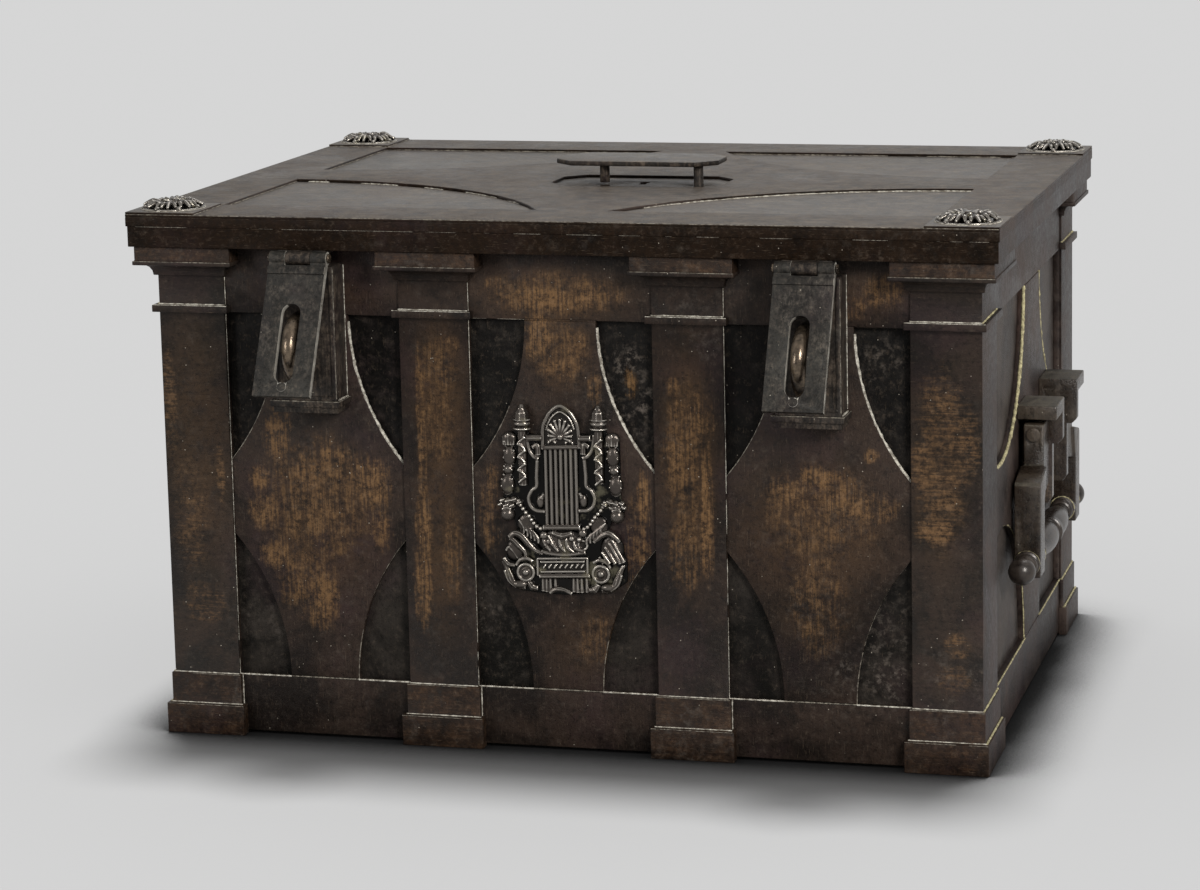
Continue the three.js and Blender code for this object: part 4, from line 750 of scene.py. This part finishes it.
for sign, lift in ((-1, 0.0), (1, 2.0)):
    def leaf(points, radii, depth, steps=6, raised=1.0):
        """A raised line on one side of the lyre, moved with a share of that side's lift."""
        relief([(sign * x - 0.7, z + lift * raised) for x, z in points], radii, depth, steps)

    def fruit(x, z, depth, across, deep, high, raised=1.0):
        """A raised round form on one side of the lyre."""
        boss(sign * x - 0.7, z + lift * raised, depth, across, deep, high)

    # Arm of the lyre, in two swings, with its beads and small leaves
    leaf([(33.5, 311), (31.5, 298), (27.4, 291), (22, 288)], (1.4, 1.9), 4.9)
    leaf([(28, 299), (23, 301), (22.2, 292)], (1.9, 2.6), 4.2)
    leaf([(23.4, 286.5), (24.4, 272), (24.8, 261.5), (29.5, 257), (32.8, 249.8), (30.8, 241.9), (25.4, 237.7),
          (17.1, 237)], 1.6, 5.0)
    fruit(21.5, 246.5, 3.6, 3.6, 2.8, 6.0)
    leaf([(17.5, 254), (20, 250), (20.5, 242)], (1.0, 2.0, 0.8), 4.4)
    for n, (x, z) in enumerate(((42.6, 246.5), (41, 242.6), (38.6, 238.9), (35.9, 235.4), (32.7, 232),
                                (30.4, 228.6), (28.2, 225.2), (25.2, 222.2), (21.6, 220.2))):
        fruit(x, z, 5.2 + 0.3 * (n % 2), 1.9, 1.9, 1.9, 0.6)
    fruit(36, 224, 3.0, 8.5, 2.8, 9.5, 0.0)
    for n in range(5):
        leaf([(43 - 3.4 * n, 228 - 2.6 * n), (38 - 3.4 * n, 221 - 2.6 * n), (38.5 - 3.6 * n, 214 - 2.2 * n)],
             (0.8, 1.5, 0.6), 5.6, 4, 0.0)
    # Hanging garland: a leafy head, three fruits, and a round drop among flowers
    fruit(51.2, 307, 3.6, 7.0, 3.6, 6.2)
    for n in range(5):
        leaf([(45.8 + 2.7 * n, 309.0 + 1.6 * (2 - abs(n - 2))), (46.6 + 2.3 * n, 301.0)], (0.5, 1.1),
             7.4 - 0.7 * abs(n - 2), 3)
    for z, across, high in ((290.0, 6.2, 9.4), (277.0, 4.8, 4.6), (262.0, 6.6, 9.2)):
        x = 51.2 + (290.0 - z) * 0.09
        fruit(x, z, 3.6, across, 3.9, high)
        for part in (-0.9, -0.25, 0.45, 0.95):
            wide = across * (1.0 - 0.35 * abs(part))
            middle = z + part * high
            leaf([(x - wide, middle + 1.6), (x, middle - 1.4), (x + wide, middle + 1.4)], 0.9,
                 6.9 - abs(part) * 2.6, 4)
    for x, z, r in ((42.4, 244.6, 3.3), (47.6, 247.4, 3.6), (53.4, 246, 3.8), (59.2, 246.6, 3.0),
                    (61.4, 242.6, 2.6), (55.6, 241.4, 3.4), (49.6, 241.6, 3.2)):
        fruit(x, z, 4.4, r, 2.8, r * 0.85, 0.4)
        leaf([(x - r * 0.8, z + 1.5), (x + r * 0.7, z - 0.6)], 0.6, 7.4, 3, 0.4)
    fruit(54.4, 233, 3.8, 6.7, 5.4, 6.7, 0.8)
    leaf([(50, 238.4), (54.5, 239.6), (59, 238.2)], 1.0, 7.4, 4, 0.8)
    # Roundel under a leaf, with the curl of the foot round it
    fruit(37.4, 176.6, 3.0, 8.6, 2.6, 8.6, 0.6)
    leaf([(37.4 + 7.9 * math.cos(turn), 176.6 + 7.9 * math.sin(turn))
          for turn in (2 * math.pi * i / 12 for i in range(13))], 1.3, 5.4, 2, 0.6)
    fruit(37.4, 176.6, 5.4, 3.4, 2.6, 3.4, 0.6)
    leaf([(30.1, 187.6), (36, 190.4), (43, 188.4), (47, 183)], (1.2, 1.9, 1.0), 5.6, 5, 0.5)
    leaf([(60.0, 187), (57.2, 182), (54, 174), (51, 166.8), (44.6, 162.6), (38, 162.2)], (1.6, 3.4, 2.4),
         3.8, 5, 0.0)
    leaf([(58.3, 178), (54.5, 168), (47, 161.9)], 1.0, 6.6, 5, 0.0)
    fruit(44.6, 164.4, 3.8, 7.6, 3.8, 4.0, 0.0)
    leaf([(34.5, 167.6), (31, 162.5), (25.5, 161.4)], (2.0, 3.2, 2.0), 4.4, 5, 0.0)
# Scroll on the left and fan on the right, over the foot
relief([(-53.5, 210.6), (-48.4, 214.6), (-41.5, 212.6), (-34.6, 205), (-27.9, 198.7), (-20.6, 195.8)],
       (2.4, 2.8, 1.4), 5.2)
relief([(-53, 210), (-48.9, 206.9), (-44.2, 202.2), (-39, 196.9), (-37.6, 191.1)], (2.2, 2.6, 1.2), 4.8)
relief([(-57.6, 197), (-54, 200.5), (-49.5, 196), (-46, 190)], (1.2, 2.0, 1.0), 4.6)
boss(-49.0, 198.0, 2.8, 8.6, 2.8, 10.5)
relief([(-60, 190), (-55.6, 184.2), (-48.9, 183)], (1.6, 2.2, 1.4), 4.8)
relief([(30.1, 208.7), (36.8, 214.4), (44.9, 218), (52.3, 213.6), (55.6, 209.6)], (1.6, 2.8, 1.6), 5.0)
boss(48.0, 202.0, 2.6, 11.0, 2.8, 13.0)
for start, end in (((48.5, 211.3), (60, 190.3)), ((45.2, 208.4), (56.4, 189)), ((41.2, 204.4), (51.4, 188.6)),
                   ((37.8, 199.6), (45.6, 188.4)), ((35, 194.6), (39.8, 188.6))):
    relief([start, end], (0.9, 1.8), 5.4, 4)
# Bed of leaves and berries under the strings
boss(-1.0, 207.0, 2.6, 24.0, 2.8, 12.5)
relief([(-11, 216.8), (-1, 214.2), (9, 216.9)], (1.6, 3.0, 1.6), 5.6)
for x, z, r in ((-19.2, 213.4, 3.6), (19.4, 217.2, 3.8), (-14, 208, 3.2), (8.6, 211.5, 3.0), (16, 211, 2.6)):
    boss(x, z, 5.0, r, 2.6, r)
for points in ([(-20.5, 212), (-17.5, 205), (-13, 199)], [(-14.5, 214), (-11, 206), (-5, 198.6)],
               [(-4, 212), (-2.6, 204), (2.2, 198.4)], [(3, 211), (4.5, 203), (10.5, 198.4)],
               [(10.5, 209), (12.5, 202.5), (20.7, 199.6)]):
    relief(points, (0.9, 1.9, 0.8), 5.8, 5)
relief([(19.4 + 4.4 * math.cos(turn), 205.4 + 4.4 * math.sin(turn))
        for turn in (math.pi * i / 5 for i in range(11))], 0.9, 5.4, 2)
relief([(-22, 197.5), (-10, 195.6), (4, 195.4), (22, 198.6)], 1.7, 4.8)
# Foot: a framed bar with a plain fret, over flutes with a wavy hem
mount_plate([(-26.2, 191), (23.4, 193.4), (23.4, 176), (-26.2, 173.6)], 1.0, 3.4)
for points in ([(-26.2, 190.4), (23.4, 192.8)], [(-26.2, 174.2), (23.4, 176.6)],
               [(-26.2, 190.4), (-26.2, 174.2)], [(23.4, 192.8), (23.4, 176.6)],
               [(-23.4, 187.2), (20.8, 189.4)], [(-23.4, 177.6), (20.8, 179.8)]):
    relief(points, 0.95, 5.1)
for i in range(8):
    x = -19.5 + 5.4 * i
    z = 182.6 + 0.048 * (x + 26.2)
    relief([(x - 1.4, z - 2.0), (x + 1.4, z + 2.0)], 0.75, 5.0, 2)
mount_plate([(-23, 174), (27, 175.6), (24, 158.6), (6, 157.2), (-0.8, 160.4), (-8.7, 160.4), (-15, 156.6),
             (-22, 158)], 1.0, 3.0)
for x, foot in ((-21, 158.6), (-17.4, 158), (-13.6, 157.6), (-8.6, 161), (9.6, 159), (13.4, 158.6),
                (17.6, 158.8), (22.6, 159.4)):
    relief([(x, foot), (x - 0.4, 173.2)], (1.7, 1.0), 4.7, 4)
relief([(-14.4, 157.2), (-8.7, 161), (-0.7, 161), (7.6, 157.4)], (1.6, 2.2, 1.6), 5.4)
relief([(-24.4, 173), (25.8, 175.4)], 1.6, 5.0)
lyre = cast_piece("lyre_mount_cast", work, runs, 0.55, mount_iron)
mount_depth, mount_gap = 12.0, 0.01
for vertex in lyre.data.vertices:
    vertex.co.y = min(max(vertex.co.y, (panel_front - mount_depth) * MM), (panel_front - mount_gap) * MM)
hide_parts("lyre_mount")
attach(lyre, "chest")

# Carrying handles: on each side two forged brackets carry pins, and on the pins swing two cranked arms
# with a turned grip between them. The left handle is hidden in the photograph and taken to be the same.
handle_iron = iron("handle_iron", (30, 26, 22), (68, 61, 52), (78, 57, 40), (146, 122, 96), face="side",
                   glaze=0.15, wear=[(-19, 205, 14, 40, 0.8)], dust=0.7, gloss=0.26, specular=0.5)
dusty_iron = iron("dusty_iron", (50, 47, 42), (84, 79, 71), (76, 68, 56), (118, 112, 98), face="side",
                  wear=0.3, dust=1.0, gloss=0.5)
grip_iron = surfaced("grip_iron", rubbed, 0.3, 0.6, Dark=linear(30, 25, 22), Bright=linear(62, 54, 48),
                     Gloss=0.3)[0]
# Half of the turned grip, as radius and distance from its middle. The arm holds it by its neck, from
# seat to out, and it ends in a round knob.
grip_x, grip_z, seat, out, neck, knob, knob_along = 419.0, 161.0, 111.7, 142.3, 6.0, 13.5, 35.0
profile = [(15.5, 0.0), (15.5, 4.0), (13.2, 5.0), (12.5, 6.5), (12.9, 10.0), (13.8, 16.0), (14.6, 24.0),
           (14.8, 34.0), (14.3, 46.0), (12.6, 60.0), (10.4, 72.0), (8.9, 82.0), (8.5, 88.7), (8.8, 91.2),
           (10.4, 91.9), (11.7, 93.4), (12.1, 95.2), (11.7, 97.0), (10.4, 98.4), (9.4, 98.7), (9.4, 102.7),
           (12.4, 103.8), (13.0, 105.2), (13.0, seat), (neck, seat), (neck, out), (13.0, out),
           (13.0, out + 3.0), (12.2, out + 4.2), (9.9, out + 5.0), (9.6, out + 7.0), (10.8, out + 8.2),
           (11.5, out + 10.0), (11.2, out + 12.0), (9.8, out + 13.6), (8.0, out + 15.0), (6.9, out + 18.0),
           (7.4, out + 22.0)]
profile += [(knob * math.sin(turn), out + knob_along - knob * math.cos(turn))
            for turn in (math.radians(38.0 + 142.0 * step / 14) for step in range(15))]
collar, inner_collar, outer_collar = 12.6, 104.4, out + 2.6
turns = [math.pi * step / 18 for step in range(36)]


def facing_up(low, high=1.1):
    """Chooses the second iron where a face's slope, 1 when it is level, lies between two limits."""
    return lambda face: 1 if low < face.normal.z < high else 0


for side, sign in (("left", -1), ("right", 1)):
    work = bmesh.new()
    middle = Vector((sign * grip_x, side_middle, grip_z))
    knots = [work.verts.new((middle + Vector((radius, along, 0.0))) * MM)
             for radius, along in [(radius, -along) for radius, along in reversed(profile)] + profile]
    for first, second in zip(knots, knots[1:]):
        work.edges.new((first, second))
    bmesh.ops.spin(work, geom=work.verts[:] + work.edges[:], cent=middle * MM, axis=(0, 1, 0), dvec=(0, 0, 0),
                   angle=2.0 * math.pi, steps=48, use_merge=True, use_duplicate=False)
    bmesh.ops.remove_doubles(work, verts=work.verts, dist=2e-5)
    bmesh.ops.recalc_face_normals(work, faces=work.faces)
    grip = piece_of("handle_grip_%s_turned" % side, work, grip_iron)
    smooth(grip.data, 42.0)
    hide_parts("handle_grip_" + side)
    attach(grip, "handle_" + side)
    collars = []
    for along in (-outer_collar, -inner_collar, inner_collar, outer_collar):
        ring = [middle + Vector((collar * math.cos(turn), along, collar * math.sin(turn))) for turn in turns]
        collars.append((ring, 0.8, 1.0))
    deposit("handle_grip_%s_wax" % side, "handle_" + side, yellow_wax, collars, 20)
    for end in ("front", "back"):
        dressed("handle_bracket_%s_%s" % (side, end), "chest", 1.2, handle_iron, dusty_iron,
                choose=facing_up(0.5))
        dressed("handle_pin_%s_%s" % (side, end), "chest", 0.5, handle_iron)
        dressed("handle_arm_%s_%s" % (side, end), "handle_" + side, 2.0, handle_iron, dusty_iron,
                choose=facing_up(0.3, 0.9))

# Lid: a flat plate with its edges turned down, under a frame of strap cut to four curved fields like
# the panels'. The top is waxed grey-brown, the front edge is nearly black, and the ends are grey.
top_iron = iron("top_iron", (32, 29, 26), (70, 64, 58), (78, 68, 58), (118, 108, 94), along="x", face="top",
                glaze=[(-150, -120, 160, 60, 0.6), (200, 60, 120, 50, 0.5)], wear=0.5,
                dust=[(0, 0, 2000, 2000, 0.5), (120, -30, 60, 26, 1.3), (250, -230, 160, 30, 1.2),
                      (330, -200, 40, 60, 1.3), (-250, -200, 120, 50, 0.8)], gloss=0.38, specular=0.38)
edge_iron = iron("edge_iron", (11, 7, 4), (24, 16, 9), (34, 23, 14), (80, 58, 42), along="x", glaze=0.5,
                 wear=0.1, dust=[(0, 500, 2000, 90, 0.2)], gloss=0.42, metal=0.0, specular=0.06)
rail_iron = iron("rail_iron", (26, 23, 20), (53, 47, 42), (74, 64, 54), (114, 104, 92), along="x", face="top",
                 glaze=0.5, wear=0.5, dust=[(0, 0, 2000, 2000, 0.5), (380, -250, 60, 80, 0.9),
                                            (0, -290, 300, 30, 0.9), (-390, 0, 40, 200, 0.7)],
                 gloss=0.4, specular=0.16)


def lid_side(face):
    """Which of the lid's three irons a face takes: edge, top or end."""
    return 2 if abs(face.normal.x) > 0.7 else (1 if face.normal.z > 0.6 else 0)


dressed("lid_plate", "lid", 0.9, edge_iron, top_iron, side_iron, choose=lid_side)
dressed("keyhole_plate", "lid", 0.3, edge_iron, top_iron, side_iron, choose=lid_side)
dressed("lid_frame", "lid", 0.7, edge_iron, rail_iron, side_iron, choose=lid_side)
# The fields' outer corners and the straps between them, the corner plates' inner corners, and the lid
lid_top, recess_floor, lid_x, lid_y = 520.0, 517.2, 424.0, 319.0
field_x, field_y, strap_x, strap_y, plate_x, plate_y = 355.0, 242.0, 35.0, 40.0, 354.6, 245.6
lines, dull_lines = [], []
for sx in (-1, 1):
    for sy in (-1, 1):
        start = (sx * field_x, sy * strap_y, recess_floor)
        corner = (sx * field_x, sy * field_y, recess_floor)
        end = (sx * strap_x, sy * field_y, recess_floor)
        lines.append((tangent_arc(start, (-sx, 0, 0), end, 40)[:36], 1.2, 0.9 if sx > 0 else 0.6))
        dull_lines.append(([start, corner, end], 0.9, 0.8))
        x, y = sx * plate_x, sy * plate_y
        dull_lines.append(([(sx * lid_x, y, lid_top), (x, y, lid_top), (x, sy * lid_y, lid_top)], 0.8, 0.9))
for y, z, radius, left in ((-319.8, 519.6, 0.45, 0.8), (-319.2, 507.8, 0.5, 0.6)):
    dull_lines.append(([(-lid_x, y, z), (lid_x, y, z)], radius, left))
deposit("lid_wax", "lid", wax, lines, 8)
deposit("lid_old_wax", "lid", old_wax, dull_lines, 9)

# Corner plates: a thin plate on each corner of the lid, with a cast flower of curling leaves pinned to
# it. Wax has gathered in a ring round the flower.
rosette_x, rosette_y, half_x, half_y, plate_thickness = 390.0, 283.0, 34.9, 36.9, 2.0
plate_top = lid_top + plate_thickness
flower_foot, flower_head = plate_top - 0.9, plate_top + 9.6
for number, (name, sx, sy) in enumerate((("rosette_front_left", -1, -1), ("rosette_front_right", 1, -1),
                                         ("rosette_back_left", -1, 1), ("rosette_back_right", 1, 1))):
    x, y = sx * rosette_x, sy * rosette_y

    def around(radius, turn, z):
        """A point round the middle of the flower, and so high over its plate."""
        return (x + radius * math.cos(turn), y + radius * math.sin(turn), plate_top + z)

    work = bmesh.new()
    runs = []
    plate(work, [around(30.2, 2 * math.pi * i / 48, -1.0) for i in range(48)], (0, 0, 2.4))
    for i in range(8):
        turn = 0.2 + 0.35 * number + 2 * math.pi * i / 8
        high = 6.6 + 0.7 * math.sin(3.7 * i + number)
        runs.append(smooth_run([around(9, turn, 4.0), around(19, turn, high), around(29, turn, 3.0)],
                               (1.6, 2.6, 1.2), 5))
        for lean in (-1, 1):
            runs.append(smooth_run([around(12, turn + lean * 0.10, 3.4),
                                    around(20, turn + lean * 0.24, high - 0.8),
                                    around(25, turn + lean * 0.30, 2.8)], (1.4, 2.6, 1.2), 5))
            runs.append(smooth_run([around(16, turn + lean * 0.05, high + 0.6),
                                    around(23, turn + lean * 0.22, high - 0.6)], 0.7, 4))
        ball(work, around(27.6, turn + 0.39, 1.6), (2.8, 2.8, 2.6))
    for i in range(6):
        turn = 0.5 + 0.35 * number + 2 * math.pi * i / 6
        ball(work, around(8.6, turn, 5.6), (4.0, 4.0, 3.4))
        runs.append(smooth_run([around(5, turn, 7.6), around(12.5, turn, 8.4)], (0.8, 1.6), 4))
    ball(work, around(0, 0, 6.2), (4.6, 4.6, 4.2))
    flower = cast_piece(name + "_cast", work, runs, 0.62, cast_iron)
    for vertex in flower.data.vertices:
        vertex.co.z = min(max(vertex.co.z, flower_foot * MM), flower_head * MM)
    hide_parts(name)
    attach(flower, "lid")
    work = bmesh.new()
    plate(work, [(x + a * half_x, y + b * half_y, lid_top) for a, b in ((-1, -1), (1, -1), (1, 1), (-1, 1))],
          (0, 0, plate_thickness))
    bmesh.ops.recalc_face_normals(work, faces=work.faces)
    bmesh.ops.bevel(work, geom=work.edges[:], offset=0.7 * MM, segments=2, profile=0.5, affect="EDGES",
                    material=-1)
    base = piece_of(name + "_plate", work, edge_iron, top_iron, side_iron)
    smooth(base.data, 40.0)
    for polygon in base.data.polygons:
        polygon.material_index = lid_side(polygon)
    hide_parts(name)
    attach(base, "lid")
    ring = [around(30.9, 2 * math.pi * i / 60, 0.2) for i in range(61)]
    deposit(name + "_wax", "lid", wax, [(ring, 0.7, 1.1)], 13 + number)

# Keyhole cover: an iron plate with cut corners, raised here on its pivot post. It drops into the recess
# under it, or swings aside on the post to free the keyhole.
dressed("keyhole_cover_plate", "keyhole_cover", 1.2, box_iron, top_iron, choose=facing_up(0.6))
dressed("keyhole_cover_catch_pin", "keyhole_cover", 0.5, box_iron)
dressed("keyhole_cover_pivot_post", "cover_post", 0.5, box_iron)

# Hasps: slotted plates with a bar and a rivet, hung on knuckles under the lid's front edge so that
# the slot passes over the staple. Their narrow right edges, the slot's foot and a ring round the rivet
# are worn metal, made pale with painted highlight where they face the lamps.
hasp_iron = iron("hasp_iron", (33, 32, 30), (52, 51, 48), (60, 55, 49), (98, 92, 84), wear=0.25, dust=0.15,
                 gloss=0.38, metal=0.3)
bright_edge = surfaced("bright_edge", rubbed, 0.3, 0.5, Dark=linear(132, 128, 120),
                       Bright=linear(190, 186, 176), Gloss=0.3)[0]
rivet_y, rivet_z, rivet_rim, rivet_ring, slot_foot = -383.0, 366.5, 3.6, 6.2, 410.0


def highlighted_part(face):
    """Painted highlight over worn metal: on the right edges, which face the lamps, on the upward faces at the
    slot's foot and round the rivet.
    """
    rivet = Vector((math.copysign(box_middle, face.center.x), rivet_y, rivet_z)) * MM
    ringed = rivet_rim * MM < (face.center - rivet).length < rivet_ring * MM
    slotted = face.normal.z > 0.75 and face.center.z < slot_foot * MM
    return 1 if ringed or slotted or face.normal.x > 0.6 else 0


for side in ("left", "right"):
    dressed("hasp_" + side, "hasp_" + side, 0.7, hasp_iron, bright_edge, choose=highlighted_part)
    dressed("hasp_leaf_" + side, "lid", 0.6, box_iron)
    dressed("hasp_pin_" + side, "lid", 0.4, worn_iron)

# Rear hinges: two pairs of leaves with knuckles and a pin, on the back wall and the lid's back edge.
# The photograph doesn't show them, so they follow common practice.
for side in ("left", "right"):
    dressed("rear_hinge_body_leaf_" + side, "chest", 0.8, box_iron)
    dressed("rear_hinge_lid_leaf_" + side, "lid", 0.6, box_iron)
    dressed("rear_hinge_pin_" + side, "chest", 0.5, worn_iron)

# Lock: a plate on legs under the lid carries the cam that the key turns and the two bolts that it
# throws. It is plain dull iron, with the moving parts rubbed bright.
dressed("lock_plate", "lid", 0.6, inner_iron)
dressed("lock_cam", "lock_cam", 0.4, worn_iron)
for side in ("left", "right"):
    dressed("bolt_" + side, "bolt_" + side, 0.6, worn_iron)

# Studio: a wide pale floor, a pale background and an even sky. Three soft lamps light the chest alone and
# a wide sun lights the floor alone, so that the floor has the background's tone and one soft shadow.
# The values are the background's and the sky's strengths, the floor's tone, and its tone close under the
# chest, where a painted contact shadow deepens the shade.
backdrop, sky_light, paper, contact_shadow_tone = 0.652, 0.45, 0.45, 0.045
sun_tilt, sun_width, sun_gain = math.radians(11.5), math.radians(15.0), 1.04
work = bmesh.new()
bmesh.ops.create_grid(work, x_segments=2, y_segments=2, size=30.0)
floor_paper = bpy.data.materials.new("studio_paper")
floor_paper.use_nodes = True
tree = floor_paper.node_tree
tree.nodes.clear()
# The floor's colour darkens with its ambient occlusion close under the chest: a painted contact shadow on top
# of the real one.
covered = node(tree, "ShaderNodeAmbientOcclusion", {"samples": 8}, Distance=0.1).outputs["AO"]
tint = blend(tree, between(tree, covered, 0.55, 0.97), (contact_shadow_tone, contact_shadow_tone, contact_shadow_tone, 1.0),
             (paper, paper, paper, 1.0))
matt = node(tree, "ShaderNodeBsdfDiffuse", {}, Color=tint)
node(tree, "ShaderNodeOutputMaterial", {}, Surface=matt.outputs[0])
floor = piece_of("floor", work, floor_paper)
world = bpy.data.worlds.new("studio")
scene.world = world
world.use_nodes = True
tree = world.node_tree
tree.nodes.clear()
seen = tree.nodes.new("ShaderNodeLightPath")
shown = sums(tree, "MAXIMUM", seen.outputs["Is Camera Ray"],
             sums(tree, "MAXIMUM", seen.outputs["Is Glossy Ray"], seen.outputs["Is Transmission Ray"]))
sky = node(tree, "ShaderNodeBackground", {}, Color=(1.0, 1.0, 1.0, 1.0),
           Strength=weighed(tree, sky_light, (shown, backdrop - sky_light)))
node(tree, "ShaderNodeOutputWorld", {}, Surface=sky.outputs[0])
ground = bpy.data.collections.new("ground")
ground.objects.link(floor)
sun = bpy.data.lights.new("floor_sun", "SUN")
sun.energy = sun_gain * (backdrop / paper - sky_light) * math.pi / math.cos(sun_tilt)
sun.angle = sun_width
sun_lamp = bpy.data.objects.new("floor_sun", sun)
sun_lamp.rotation_euler = (-sun_tilt, 0.0, 0.0)
sun_lamp.light_linking.receiver_collection = ground
scene.collection.objects.link(sun_lamp)
lit = bpy.data.collections.new("lit")
for piece in scene.collection.objects:
    if piece.type == "MESH" and piece is not floor:
        lit.objects.link(piece)
for name, spot, target, size, power, tint in (
        ("key_lamp", (2.6, -3.0, 2.2), (0.0, 0.0, 0.3), (1.0, 1.0), 140.0, (1.0, 0.97, 0.93)),
        ("fill_lamp", (-2.6, -3.2, 1.4), (0.0, 0.0, 0.3), (1.0, 1.0), 35.0, (1.0, 0.98, 0.96)),
        ("top_lamp", (0.2, 1.6, 3.2), (0.0, 0.0, 0.5), (2.4, 1.4), 45.0, (1.0, 1.0, 1.0))):
    light = bpy.data.lights.new(name, "AREA")
    light.shape = "RECTANGLE"
    light.size, light.size_y = size
    light.energy = power
    light.color = tint
    lamp = bpy.data.objects.new(name, light)
    lamp.location = spot
    lamp.rotation_euler = (Vector(target) - Vector(spot)).to_track_quat("-Z", "Y").to_euler()
    lamp.light_linking.receiver_collection = lit
    scene.collection.objects.link(lamp)
scene.view_settings.view_transform = "Standard"
